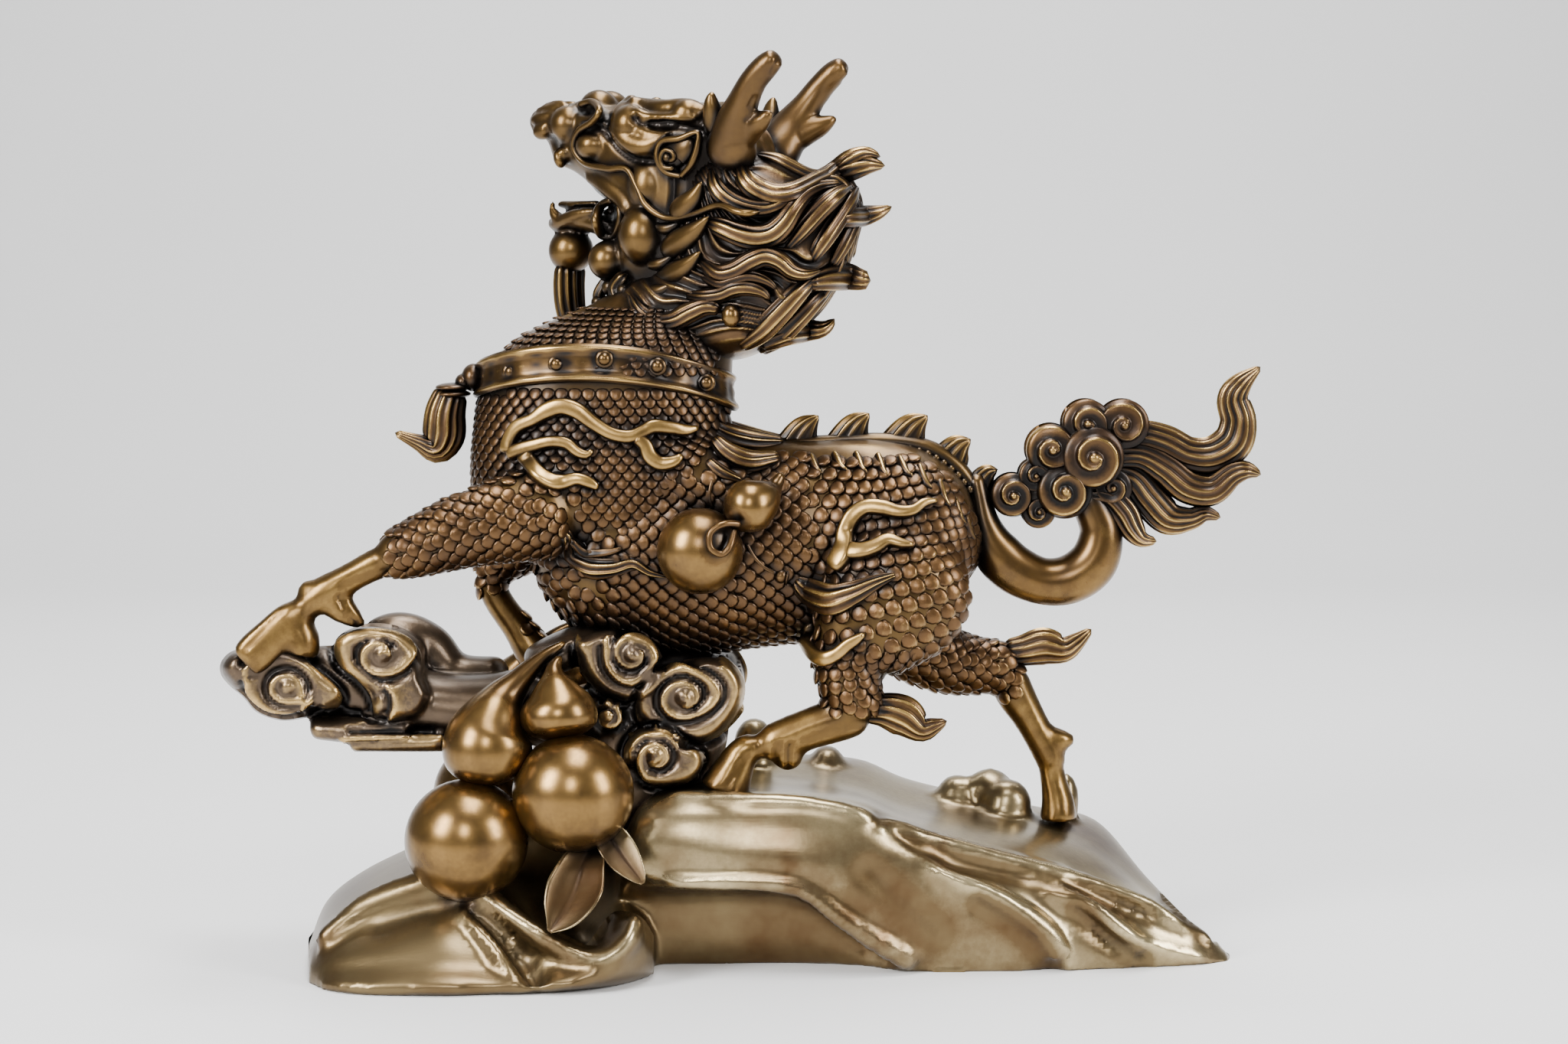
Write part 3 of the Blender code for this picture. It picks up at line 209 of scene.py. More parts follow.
def meshFrom(name, shell, scale):
    mesh = bpy.data.meshes.new(name)
    quads, tris = shell["quads"], shell["tris"]
    mesh.vertices.add(len(shell["points"]))
    mesh.vertices.foreach_set("co", (shell["points"] * scale).astype(np.float32).ravel())
    corners = np.concatenate([quads.ravel(), tris.ravel()]).astype(np.int32)
    sizes = np.concatenate([np.full(len(quads), 4), np.full(len(tris), 3)])
    mesh.loops.add(len(corners))
    mesh.loops.foreach_set("vertex_index", corners)
    mesh.polygons.add(len(sizes))
    mesh.polygons.foreach_set("loop_start", np.concatenate([[0], np.cumsum(sizes)[:-1]]).astype(np.int32))
    mesh.polygons.foreach_set("use_smooth", np.ones(len(sizes), bool))
    mesh.update(calc_edges=True)
    mesh.validate()
    return mesh


def fused(shells, cell, rounds):
    # one skin round all the shells, as wax is joined: a voxel remesh, then smoothing
    rough = bpy.data.objects.new("wax", meshFrom("wax", joined(shells), 1.0))
    bpy.context.scene.collection.objects.link(rough)
    skin = rough.modifiers.new("skin", "REMESH")
    skin.mode = "VOXEL"
    skin.voxel_size = cell
    soften = rough.modifiers.new("soften", "SMOOTH")
    soften.factor = 0.5
    soften.iterations = rounds
    done = rough.evaluated_get(bpy.context.evaluated_depsgraph_get()).to_mesh()
    points = np.zeros(len(done.vertices) * 3, np.float32)
    done.vertices.foreach_get("co", points)
    quads = np.zeros(len(done.loops), np.int32)
    done.loops.foreach_get("vertex_index", quads)
    bpy.data.objects.remove(rough, do_unlink=True)
    points = points.reshape(-1, 3).astype(float)
    return dict(points=points, quads=quads.reshape(-1, 4), tris=np.zeros((0, 3), int),
                relief=np.full(len(points), 0.55))


def normalsOf(shell):  # vertex normals, from the cross products of the faces' diagonals
    p, quads, tris = shell["points"], shell["quads"], shell["tris"]
    out = np.zeros_like(p)
    if len(quads):
        face = np.cross(p[quads[:, 2]] - p[quads[:, 0]], p[quads[:, 3]] - p[quads[:, 1]])
        for k in range(4):
            np.add.at(out, quads[:, k], face)
    if len(tris):
        face = np.cross(p[tris[:, 1]] - p[tris[:, 0]], p[tris[:, 2]] - p[tris[:, 0]])
        for k in range(3):
            np.add.at(out, tris[:, k], face)
    return unit(out)


def seenFrom(points):  # where the camera sees each point on the middle plane
    reach = eye["back"] / (eye["back"] + points[:, 1])
    return np.stack([eye["x"] + (points[:, 0] - eye["x"]) * reach, eye["z"] + (points[:, 2] - eye["z"]) * reach],
                    1)


def reflected(rows, plane, vector=False):
    # across the middle plane of the body or of the turned head, or as they are
    if plane == "body":
        return rows * [1, -1, 1]
    if plane == "head":
        return rows - 2 * ((rows - [0 if vector else headPose["pivotX"], 0, 0]) @ headSide)[:, None] * headSide
    return rows


def facingCamera(shell, plane):
    # where the camera sees each vertex, and which of them face it, with the far side in turn
    normal = normalsOf(shell)
    points, ways = reflected(shell["points"], plane), reflected(normal, plane, vector=True)
    toEye = unit(np.array([eye["x"], -eye["back"], eye["z"]]) - points)
    return seenFrom(points), (ways * toEye).sum(1), normal


def creased(shell, lines, plane=None):
    # pushes the skin in or out along drawn lines. Each line is (stations x, z; height in mm; width; sharp):
    # height times exp(-d/width) for a sharp fold or exp(-(d/width)^2) for a soft one, d being the seen distance
    at, facing, normal = facingCamera(shell, plane)
    push = np.zeros(len(at))
    for stations, height, width, sharp in lines:
        fine = spline(stations, 14 * len(stations))
        box = (facing > 0.05) & (at > fine.min(0) - 4 * width).all(1) & (at < fine.max(0) + 4 * width).all(1)
        gap = np.sqrt(((at[box, None] - fine[None]) ** 2).sum(-1)).min(1)
        push[box] += height * (np.exp(-gap / width) if sharp else np.exp(-((gap / width) ** 2)))
    relief = np.clip(shell["relief"] + np.where(push > 0, 0.16, 0.2) * push, 0.05, 1)
    return dict(shell, points=shell["points"] + push[:, None] * normal, relief=relief)


class Skin:  # the outer surface, for laying relief on it

    def __init__(self, shell):
        faces = shell["quads"].tolist() + shell["tris"].tolist()
        self.tree = BVHTree.FromPolygons(shell["points"].tolist(), faces)
        self.eye = Vector((eye["x"], -eye["back"], eye["z"]))

    def under(self, x, z):  # the first point that the line of sight through (x, z) meets, or the nearest to it
        aim = (Vector(sight(x, z, 0.0)) - self.eye).normalized()
        spot, normal, _, _ = self.tree.ray_cast(self.eye, aim)
        if spot is None:
            spot, normal, _, _ = self.tree.find_nearest(Vector(sight(x, z, -30.0)))
        return np.array(spot), np.array(normal)

    def ribbon(self, stations, height, sides=20, sink=0.35, step=1.1, **more):  # stations: x, z, half width
        hits = [self.under(x, z) for x, z, _ in stations]
        rows = np.array([[*spot, w, *normal] for (spot, normal), (_, _, w) in zip(hits, stations)])
        rows = evenly(rows, step)
        normal = unit(rows[:, 4:7])
        centre = rows[:, :3] - sink * height * normal
        path = np.column_stack([centre, rows[:, 3], np.full(len(rows), height)])
        return sweep(path, normal, sides, **{"blunt": (0.7, 0.7), **more})


made = []  # every finished piece, with its shell


def addPiece(name, shells, material):
    shell = joined(shells) if isinstance(shells, list) else shells
    piece = bpy.data.objects.new(name, meshFrom(name, shell, mm))
    bpy.context.scene.collection.objects.link(piece)
    piece.data.materials.append(material)
    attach(piece, "root")
    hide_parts("qilin_figure")
    made.append((piece, shell))
    print("made", name, len(shell["quads"]) * 2 + len(shell["tris"]), "triangles")
    return piece


# Camera

def setCamera():
    data = bpy.data.cameras.new("camera")
    camera = bpy.data.objects.new("camera", data)
    bpy.context.scene.collection.objects.link(camera)
    stand = Vector((eye["x"], -eye["back"], eye["z"])) * mm
    aim = Vector((eye["x"], 0, eye["aimZ"])) * mm - stand
    camera.location = stand
    camera.rotation_euler = aim.to_track_quat("-Z", "Y").to_euler()
    data.sensor_width = eye["sensor"]
    data.lens = eye["sensor"] * aim.length / (eye["pixels"] * eye["perPixel"] * mm)
    data.clip_start = 0.05
    bpy.context.scene.camera = camera


setCamera()
print("camera set")


# Materials

def linear(code):  # sRGB hex to linear
    parts = [int(code[i:i + 2], 16) / 255 for i in (1, 3, 5)]
    return (*(c / 12.92 if c <= 0.04045 else ((c + 0.055) / 1.055) ** 2.4 for c in parts), 1.0)


def addNode(tree, kind, values=(), links=(), **settings):  # one node, its socket values and what feeds it
    node = tree.nodes.new(kind)
    for key, value in settings.items():
        setattr(node, key, value)
    for key, value in dict(values).items():
        node.inputs[key].default_value = value
    for key, source in dict(links).items():
        tree.links.new(source, node.inputs[key])
    return node


def castBrass(name, recess, body, edge, tint, rough=(0.5, 0.3), grain=0.35, brushed=0.0, mottle=0.5,
              wax=0.2, speck=0.22, patch=0.013):
    # cast brass under a dark chemical patina, rubbed bright on whatever stands proud. The patina stays black in
    # the cuts, brown on open skin and golden on the crests, and the rubbed metal is the smoother. Over it a painted
    # shade takes the colour towards near black where other metal stands close in front, as in deep cuts and between
    # parts
    material = bpy.data.materials.new(name)
    material.use_nodes = True
    tree = material.node_tree
    shader = tree.nodes["Principled BSDF"]
    shader.inputs["Metallic"].default_value = 0.92
    shader.inputs["Coat Weight"].default_value = wax
    shader.inputs["Coat Roughness"].default_value = 0.28
    place = addNode(tree, "ShaderNodeTexCoord").outputs["Object"]
    relief = addNode(tree, "ShaderNodeAttribute", attribute_name="relief").outputs["Fac"]
    # how open the spot is, which drives the painted shade below
    open_ = addNode(tree, "ShaderNodeAttribute", attribute_name="openness_shade").outputs["Fac"]
    cloudy = addNode(tree, "ShaderNodeTexNoise", {"Scale": 1 / patch, "Detail": 4.0, "Roughness": 0.6},
                     {"Vector": place})
    speckle = addNode(tree, "ShaderNodeTexNoise", {"Scale": 1 / 0.0022, "Detail": 3.0, "Roughness": 0.65},
                      {"Vector": place})
    lifted = addNode(tree, "ShaderNodeMath", {1: speck, 2: -speck / 2}, {0: speckle.outputs["Fac"]},
                     operation="MULTIPLY_ADD")
    worn = addNode(tree, "ShaderNodeMath", {}, {0: relief, 1: lifted.outputs[0]}, operation="ADD")
    ramp = addNode(tree, "ShaderNodeValToRGB", {}, {"Fac": worn.outputs[0]})
    stops = ((0.12, recess), (0.42, body), (0.62, body), (0.92, edge))
    for n, (at, code) in enumerate(stops):
        stop = ramp.color_ramp.elements[n] if n < 2 else ramp.color_ramp.elements.new(at)
        stop.position = at
        stop.color = linear(code)
    stain = addNode(tree, "ShaderNodeMapRange", {"From Min": 0.42, "From Max": 0.7, "To Max": mottle},
                    {"Value": cloudy.outputs["Fac"]})
    mixed = addNode(tree, "ShaderNodeMix", {7: linear(tint)}, {0: stain.outputs[0], 6: ramp.outputs["Color"]},
                    data_type="RGBA")
    # painted shade: where the spot is crowded by other metal, the colour is mixed towards near black #0d0a09
    painted_shade_mix = addNode(tree, "ShaderNodeMix", {6: linear("#0d0a09")}, {0: open_, 7: mixed.outputs[2]},
                   data_type="RGBA")
    tree.links.new(painted_shade_mix.outputs[2], shader.inputs["Base Color"])
    rub = addNode(tree, "ShaderNodeMapRange",
                  {"From Min": 0.2, "From Max": 0.9, "To Min": rough[0], "To Max": rough[1]},
                  {"Value": worn.outputs[0]})
    tree.links.new(rub.outputs[0], shader.inputs["Roughness"])
    height = speckle.outputs["Fac"]
    if brushed:  # wheel marks, long in x
        stretch = addNode(tree, "ShaderNodeMapping", {"Scale": (1 / 0.02, 1 / 0.0011, 1 / 0.0011)},
                          {"Vector": place})
        marks = addNode(tree, "ShaderNodeTexNoise", {"Scale": 1.0, "Detail": 3.0}, {"Vector": stretch.outputs[0]})
        height = addNode(tree, "ShaderNodeMath", {1: brushed}, {0: marks.outputs["Fac"], 2: height},
                         operation="MULTIPLY_ADD").outputs[0]
    bump = addNode(tree, "ShaderNodeBump", {"Strength": grain, "Distance": 0.0004}, {"Height": height})
    tree.links.new(bump.outputs[0], shader.inputs["Normal"])
    return material


# scales: dark between the plates, so that each one glints on its own
brassScales = castBrass("patinated_brass_scales", "#0e0a07", "#634626", "#caa568", "#432d1a", (0.45, 0.27),
                        mottle=0.8, patch=0.03)
# hair: the same patina, rubbed a little more, so that the crests of the strands draw fine golden lines
brassHair = castBrass("patinated_brass_hair", "#0f0a07", "#5e4425", "#cca75f", "#432d19", (0.42, 0.26),
                      mottle=0.8, patch=0.03)
# gourds, collar and tail root: polished and waxed by hand, which gives broad soft highlights
brassSmooth = castBrass("polished_antique_brass", "#1a1009", "#60451c", "#c29c58", "#3c2811", (0.33, 0.24),
                        grain=0.05, speck=0.05, mottle=0.6, wax=0.3)
# rock: brushed to a pale greyish gold, whose long marks stretch the highlights
brassStone = castBrass("brushed_antique_brass", "#1b130c", "#6c5b3d", "#c3b288", "#4c3418", (0.38, 0.25),
                       grain=0.1, brushed=0.8, mottle=0.95, speck=0.1, patch=0.05)
# clouds: an oxidised brown that only the crests of the scrolls break
brassCloud = castBrass("oxidised_brass_cloud", "#0f0b08", "#5d4d3c", "#c9a565", "#43352a", (0.4, 0.27), grain=0.3)
# legs, face and flames: rubbed metal, between the scales and the polished gourds
brassFlesh = castBrass("rubbed_brass_flesh", "#140d07", "#634a22", "#c8a15c", "#45311a", (0.38, 0.27),
                       grain=0.12, speck=0.1)
print("materials made")


# The creature's flesh: torso, neck and legs

fleshPlan = dict(cell=2.1, smoothing=3)

barrel = [
    (-96, 196, 0, 24, 22), (-74, 192, 0, 43, 34), (-48, 191, 0, 49, 38), (-20, 191, 0, 50.5, 38),
    (8, 192, 0, 48, 35), (34, 193, 0, 46.5, 35), (60, 194, 0, 46, 37), (84, 191, 0, 43, 38),
    (101, 186, 0, 33, 31), (109, 183, 0, 18, 18)]
neck = [
    (-62, 190, 0, 48, 32), (-62, 206, 0, 60, 38), (-63, 226, 0, 61, 39), (-63.5, 246, 0, 59, 37),
    (-62, 262, 0, 58, 36), (-59, 275, 0, 55.5, 35), (-53, 286, 1, 50.5, 33), (-45, 294, 4, 43, 30),
    (-36, 302, 8, 33, 26), (-29, 312, 11, 26, 22), (-25, 328, 12, 24, 20)]
saddle = [(-60, 238, 0, 34, 33), (-34, 227, 0, 29, 36), (-8, 214, 0, 26, 35.6), (16, 205, 0, 22, 32)]
shoulder = [(-52, 232, -14, 14, 14), (-68, 222, -19, 26, 20), (-84, 213, -21, 27, 21), (-98, 206, -25, 21, 17)]
nearArm = [
    (-76, 211, -26, 24, 18), (-96, 205, -32, 20.5, 16), (-114, 201, -36, 18, 15), (-132, 196, -38, 15.5, 13.5),
    (-148, 190, -38, 13, 12), (-160, 186, -38, 10.5, 10), (-169, 182.5, -38, 8, 8.5)]
farArm = [(-76, 206, 24, 22, 16), (-92, 198, 30, 17, 15), (-106, 188, 30, 13, 13), (-115, 180, 30, 9.5, 10),
          (-119, 174, 30, 8, 9)]
nearThigh = [
    (82, 200, -16, 22, 20), (76, 184, -24, 33, 22), (68, 166, -29, 35, 21), (58, 150, -32, 27, 18),
    (51, 137, -34, 18, 15), (51, 125, -36, 14, 13), (56, 113, -36, 10.5, 11), (60, 107, -36, 6, 8)]
farThigh = [(70, 168, 16, 30, 18), (78, 150, 24, 22, 16), (92, 138, 28, 16, 14), (108, 134, 30, 13, 12),
            (120, 134, 30, 11, 10.5), (128, 132, 30, 7, 8)]


def lowerLegs():  # cannons, fetlocks, dewclaws and cloven hooves
    n, f = -38, 30
    near = [
        limb([(-164, 184, n, 8, 8), (-174, 179, n, 7, 7), (-184, 173.5, n, 7, 7), (-193, 168, n, 8, 8),
              (-200, 163, n, 7, 7.5), (-205, 159, n, 7, 7)]),
        limb([(-197, 171, n, 4.5, 6), (-202, 170, n, 3.5, 5), (-204, 165, n, 2.5, 4)]),
        limb([(-192, 167, n, 6.5, 6.5), (-186, 161, n, 7, 6.5), (-180, 156, n, 4.5, 5),
              (-175, 151.5, n, 1.6, 2.5)]),
        limb([(-203, 162, n, 5, 7), (-209, 155.5, n, 8.4, 8.4), (-217, 148, n, 9, 9.6),
              (-225, 140.5, n, 9.4, 10.4), (-231, 135, n, 8, 10)], 4 * 8, blunt=(0.5, 0.12), boxy=0.5),
        limb([(-207, 154, n, 7, 8), (-204, 146, n, 8, 9), (-206, 138, n, 9, 9)], blunt=(0.6, 0.3)),
    ]
    fore = [
        limb([(-118, 178, f, 7, 8), (-113, 165, f, 7, 7.5), (-104, 152, f, 7.5, 7.5), (-98, 143, f, 9, 9),
              (-92, 134, f, 11, 10)]),
    ]
    n, f = -36, 30
    hind = [
        limb([(60, 111, n, 8, 9), (46, 108.5, n, 10, 9), (30, 103.5, n, 9.5, 8.5), (17, 98, n, 9.5, 8.5),
              (8, 95, n, 8.5, 8)]),
        limb([(22, 97, n, 8, 8), (21, 90, n, 7.5, 7.5), (19, 84.5, n, 4, 5)]),
        limb([(9, 98, n, 6, 7), (1, 93, n, 7.5, 8), (-4, 84, n, 9.5, 10), (-9, 73, n, 13, 13)], blunt=(0.8, 0.2)),
        limb([(122, 134, f, 9, 9), (127, 122, f, 9.5, 8.5), (134, 110, f, 8, 7.5), (140, 99, f, 7.5, 7.5),
              (144, 91, f, 7.5, 7.5), (145, 83, f, 6, 6.5)]),
        limb([(140, 101, f, 6, 6), (149, 99, f, 5.5, 6), (156, 100, f, 2.2, 3.5)]),
        limb([(144, 90, f, 6, 6.5), (146, 79, f, 6.5, 7), (148, 69, f, 8, 9), (148, 60, f, 9.5, 11)],
             blunt=(0.8, 0.2)),
    ]
    return near + fore + hind


flesh = fused([
    limb(barrel, 40), limb(neck, 40, blunt=(0.3, 0.5), level=True), limb(saddle, 40),
    *both([limb(shoulder, 32)]), limb(nearArm), limb(farArm),
    limb(nearThigh, 32), limb(farThigh, 28), *lowerLegs()], fleshPlan["cell"], fleshPlan["smoothing"])
fleshLines = [  # the cleft of the hooves and the sinews behind the cannons
    ([(-213, 160), (-222, 151), (-231, 141)], -1.1, 1.1, False),
    ([(-187, 166), (-183, 158), (-178, 153)], -1.6, 1.0, False),
    ([(2, 92), (-2, 84), (-8, 75)], -1.2, 1.2, False),
    ([(17, 97), (16, 91), (17, 85)], -2.0, 1.1, False),
    ([(23, 97), (22, 91), (22, 85)], -2.0, 1.1, False),
    ([(60, 108), (45, 104), (30, 99)], -0.9, 1.6, False),
    ([(-160, 180), (-174, 176), (-186, 171)], -0.8, 1.4, False),
]
flesh = creased(flesh, fleshLines)
skin = Skin(flesh)
addPiece("flesh", flesh, brassFlesh)
print("flesh made")


# Scales: small domed plates laid like tiles, each in a frame of its own normal and free end

# each region: how far apart the scales stand in a row, and the rows from each other
scalePlan = dict(neck=(6.4, 3.6), flank=(8.2, 4.3), thigh=(7.9, 5.4), leg=(7.6, 3.9), lift=0.55)


def scaleForm():
    # one scale of unit pitch: rings of ten points from its crown out to its rim and under it. The free end is
    # +u, v is across, and the height is a low dome that tips up towards the free end and sinks at the root
    turn = np.linspace(0, math.tau, 10, endpoint=False)
    rings, values = [], []
    for reach, height, relief in ((0.68, 0.075, 0.56), (1.0, 0.0, 0.9), (0.94, -0.17, 0.0)):
        u = 0.53 * np.cos(turn) * reach
        v = 0.51 * np.sin(turn) * reach * (1 - 0.12 * np.cos(turn))
        rings.append(np.stack([u, v, height + 0.30 * u], 1))
        values.append(relief * (0.72 + 0.28 * np.cos(turn)) if relief > 0.8 else np.full(10, relief))
    crown, under = np.array([0, 0, 0.095]), np.array([0, 0, -0.17])
    return closed(np.array(rings), crown, under, np.array(values))


def layScales(name, spots):  # spots: rows of centre, normal, free direction and pitch
    form = scaleForm()
    c, n, d, pitch = spots[:, :3], unit(spots[:, 3:6]), spots[:, 6:9], spots[:, 9]
    d = unit(d - (d * n).sum(1, keepdims=True) * n)
    v = np.cross(n, d)
    frames = np.stack([d, v, n], 1) * pitch[:, None, None]
    points = (c + n * scalePlan["lift"])[:, None] + form["points"] @ frames
    count, size = len(spots), len(form["points"])
    steps = (np.arange(count) * size)[:, None, None]
    shell = dict(
        points=points.reshape(-1, 3), relief=np.tile(form["relief"], count),
        quads=(form["quads"][None] + steps).reshape(-1, 4), tris=(form["tris"][None] + steps).reshape(-1, 3))
    return addPiece(name, facedOut(shell), brassScales)


def chartTube(stations, pitch, row, keep, backwards=False, rounds=None, level=False):
    # rows of scales round a limb: even turns of its oval in every row, each row half a scale on from the last
    x, z, y, across, deep = np.array(stations, float).T
    path = evenly(np.column_stack([sight(x, z, y), across, deep]), row)
    tangent = np.tile([0.0, 0, 1], (len(path), 1)) if level else unit(np.gradient(path[:, :3], axis=0))
    lateral = unit(yAxis - (yAxis * tangent).sum(1, keepdims=True) * tangent)
    normal = np.cross(tangent, lateral)
    spots = []
    for i, (centre, t, l, m) in enumerate(zip(path, tangent, lateral, normal)):
        wide, thick = centre[3], centre[4]  # and the girth of their ellipse, nearly
        girth = math.pi * (3 * (wide + thick) - math.sqrt((3 * wide + thick) * (wide + 3 * thick)))
        count = rounds or max(6, 2 * round(girth / pitch / 2))
        turn = equalTurns(centre[3] / centre[4], 2 * count)[i % 2::2]
        ring = centre[:3] + m * (centre[3] * np.cos(turn))[:, None] + l * (centre[4] * np.sin(turn))[:, None]
        for spot in ring:
            seen = seenFrom(spot[None])[0]
            if not keep(seen[0], seen[1], spot[1]):
                continue
            at, facing, _, gap = skin.tree.find_nearest(spot)
            if gap < (7 if -60 < spot[0] < 26 and 196 < spot[2] < 256 else 1.6):
                spots.append([*at, *facing, *(-t if backwards else t), girth / count if rounds else pitch])
    return spots


def chartDome(centre, radius, pitch, row, swing, keep):
    # scales over a bulge: a brick lattice on a map whose distance from the middle is the angle at the bulge's
    # centre
    spots = []
    free = np.array([math.cos(swing), math.sin(swing)])
    over = np.array([-free[1], free[0]])
    middle = np.array(centre, float)

    def onSkin(flat):
        reach = np.hypot(*flat) / radius
        if reach > 1.9:
            return None
        heading = math.atan2(flat[1], flat[0])
        ray = Vector((math.sin(reach) * math.cos(heading), -math.cos(reach), math.sin(reach) * math.sin(heading)))
        spot, facing, _, _ = skin.tree.ray_cast(Vector(middle) + ray * 90, -ray)
        return spot and (np.array(spot), np.array(facing))

    for i in range(-22, 23):
        for j in range(-12, 13):
            flat = free * i * row + over * (j + 0.5 * (i % 2)) * pitch
            hit, ahead = onSkin(flat), onSkin(flat + free)
            if hit and ahead:
                seen = seenFrom(hit[0][None])[0]
                if keep(seen[0], seen[1], hit[0][1]):
                    spots.append([*hit[0], *hit[1], *(ahead[0] - hit[0]), pitch])
    return spots


def farCopies(spots):  # the same scales on the far side
    rows = np.array(spots)
    flip = np.array([1, -1, 1, 1, -1, 1, 1, -1, 1, 1])
    return rows * flip


def armLine(x):  # the height at which the neck ends and the arm begins
    return np.interp(x, [-130, -112, -98, -84, -70, -56], [213, 217.5, 214, 209.5, 205, 199])


def flankLine(z):  # the flank begins behind this line
    return np.interp(z, [140, 190, 205, 216, 226, 240], [-78, -60, -48, -38, -26, -14])


def thighLine(z):  # and ends before this one
    return np.interp(z, [120, 150, 180, 200, 220, 240], [20, 24, 29, 31, 29, 24])


def infill(name, laid, keep, backPitch):
    # grows scales into the bare skin between the charts: it takes the nearest open spot that is 0.84 of a pitch
    # from every scale laid so far, and turns each as its three nearest neighbours are turned
    rows = np.vstack(laid)
    points, normals = flesh["points"], normalsOf(flesh)
    seen = seenFrom(points)
    free = points[keep(seen[:, 0], seen[:, 1], points[:, 1])], normals[keep(seen[:, 0], seen[:, 1], points[:, 1])]
    gap = np.full(len(free[0]), 1e9)
    for part in np.array_split(rows, 40):
        gap = np.minimum(gap, np.linalg.norm(free[0][:, None] - part[None, :, :3], axis=-1).min(1))
    grown = []
    while True:
        open_ = np.where(gap > 0.84 * backPitch, gap, np.inf)
        pick = int(open_.argmin())
        if not np.isfinite(open_[pick]) or gap[pick] > 40:
            break
        spot, normal = free[0][pick], free[1][pick]
        every = np.vstack([rows, *grown]) if grown else rows
        near = np.linalg.norm(every[:, :3] - spot, axis=1).argsort()[:3]
        way = unit(every[near, 6:9]).sum(0)
        grown.append(np.array([[*spot, *normal, *way, backPitch * 1.04]]))
        gap = np.minimum(gap, np.linalg.norm(free[0] - spot, axis=1))
    layScales(name, np.vstack(grown))


backEdge = [(-10, 233), (10, 231), (30, 232), (60, 233), (80, 231), (95, 223), (104, 211), (110, 195), (114, 180)]


def underRidge(x, z):  # below the ridge of the back, as seen from the near side
    return z < np.interp(x, *zip(*backEdge))


def onSkinParts(x, z, y):
    nearArmPart = (x < -100) & (x > -164) & (z < 221) & (z > 168)
    farArmPart = (y > 10) & (x < -84) & (x > -122) & (z > 176)
    nearShank = (x > 36) & (x < 68) & (z < 150) & (z > 113) & (y < 0)
    farShank = (y > 8) & (x > 60) & (x < 131) & (z > 119) & (z < 160)
    throat = (np.abs(y) > 6) | (z < 262)
    chest = (z > 147) & (z < 297) & (x > -124) & (x < 112) & throat & ((x > -8) | (z < 300))
    body = chest & (underRidge(x, z) | (x < -6)) & ~((x < -100) & (z < 168))
    collarBand = (z > 259) & (z < 283) & (x > -130) & (x < 0)
    return (nearArmPart | farArmPart | nearShank | farShank | body) & ~collarBand


pitch, row = scalePlan["neck"]
neckSpots = chartTube(neck, pitch, row, lambda x, z, y: z > armLine(x) - 2 and z < 301 and x < flankLine(z) + 3
                      and not 261 < z < 270 and (abs(y) > 6 or z < 262), True, 48, True)
pitch, row = scalePlan["flank"]
flankSpots = chartTube(barrel, pitch, row,
                       lambda x, z, y: x > flankLine(z) and x < thighLine(z) + 2 and underRidge(x, z)
                       and not (abs(y) > 14 and x < -64), False)
pitch, row = scalePlan["thigh"]
thighSpots = chartDome((66, 0, 188), 47.0, pitch, row, math.radians(-27),
                       lambda x, z, y: y < 3 and x > thighLine(z) and z > 139 and underRidge(x, z))
pitch, row = scalePlan["leg"]
armSpots = chartTube(nearArm, pitch, row,
                     lambda x, z, y: x > -163 and z < armLine(x) + 1 and x < flankLine(z) - 2, False)
farArmSpots = chartTube(farArm, pitch, row, lambda x, z, y: y > 12, False)
shankSpots = chartTube(nearThigh, 7.0, 4.0, lambda x, z, y: z < 141 and z > 111, False)
farShank = chartTube(farThigh, pitch, row, lambda x, z, y: True, False)
layScales("neck_scales", np.array(neckSpots))
layScales("flank_scales", np.array(flankSpots))
layScales("thigh_scales", np.vstack([thighSpots, farCopies(thighSpots)]))
layScales("leg_scales", np.vstack([armSpots, farArmSpots, shankSpots, farShank]))
infill("joint_scales", [neckSpots, flankSpots, thighSpots, farCopies(thighSpots), armSpots, farArmSpots,
                        shankSpots, farShank], onSkinParts, 7.2)
print("scales laid")


# Trim on the creature: flames, collar, tassels, hanging gourds, tufts, spines

flamePlan = dict(height=3.8, sink=-0.4, wider=1.3, relief=0.76)

flamePaths = [  # x, z, half width
    [(-107, 232, 3), (-105.5, 239, 2.6), (-102, 245, 2.6), (-95, 248.5, 2.4), (-89, 252.5, 3), (-82, 254.6, 3),
     (-75, 252.5, 3), (-68, 247, 2.6), (-60, 242, 2.4), (-52, 240.6, 2.4), (-46, 243, 2.4), (-41, 245.4, 2.6),
     (-33, 244.6, 2.4), (-27, 243, 2.2), (-21, 244.6, 0.8)],
    [(-50, 240.6, 2), (-45, 237, 2.6), (-42.6, 231.5, 2.8), (-37, 228, 2.6), (-31, 228.6, 2.2),
     (-27, 231.6, 0.8)],
    [(-107, 232, 2.6), (-101, 234.6, 2.6), (-94, 236.6, 2.4), (-87, 238.2, 2.2), (-80, 237.4, 2.2),
     (-75, 233.4, 2), (-71, 232.2, 1.6), (-67.6, 234.6, 0.6)],
    [(-100, 234, 3.6), (-97, 228, 3), (-94, 222, 3), (-88, 218.6, 3), (-82, 219.4, 2.6), (-76, 220.8, 2.2),
     (-70, 219, 2), (-66, 216.6, 0.8)],
    [(43, 178.5, 3.4), (47, 184, 4), (49, 190, 3.6), (48.6, 197, 3), (52, 203.6, 3), (58, 207.4, 2.8),
     (66, 207, 2.8), (73, 205.2, 2.4), (79, 205.8, 2), (84, 209, 1.6), (90, 209.8, 0.6)],
    [(49, 187, 3.6), (56, 186.6, 3), (62, 188.4, 2.8), (68, 191.4, 2.4), (74, 189.8, 1.8), (80, 188.6, 0.6)],
    [(33, 155, 2.4), (31, 149, 2.8), (33, 142.6, 3), (39, 137.4, 2.8), (45, 139.4, 2.4), (50, 144, 2.2),
     (54, 146.6, 1.8), (58, 149.8, 0.7)],
]


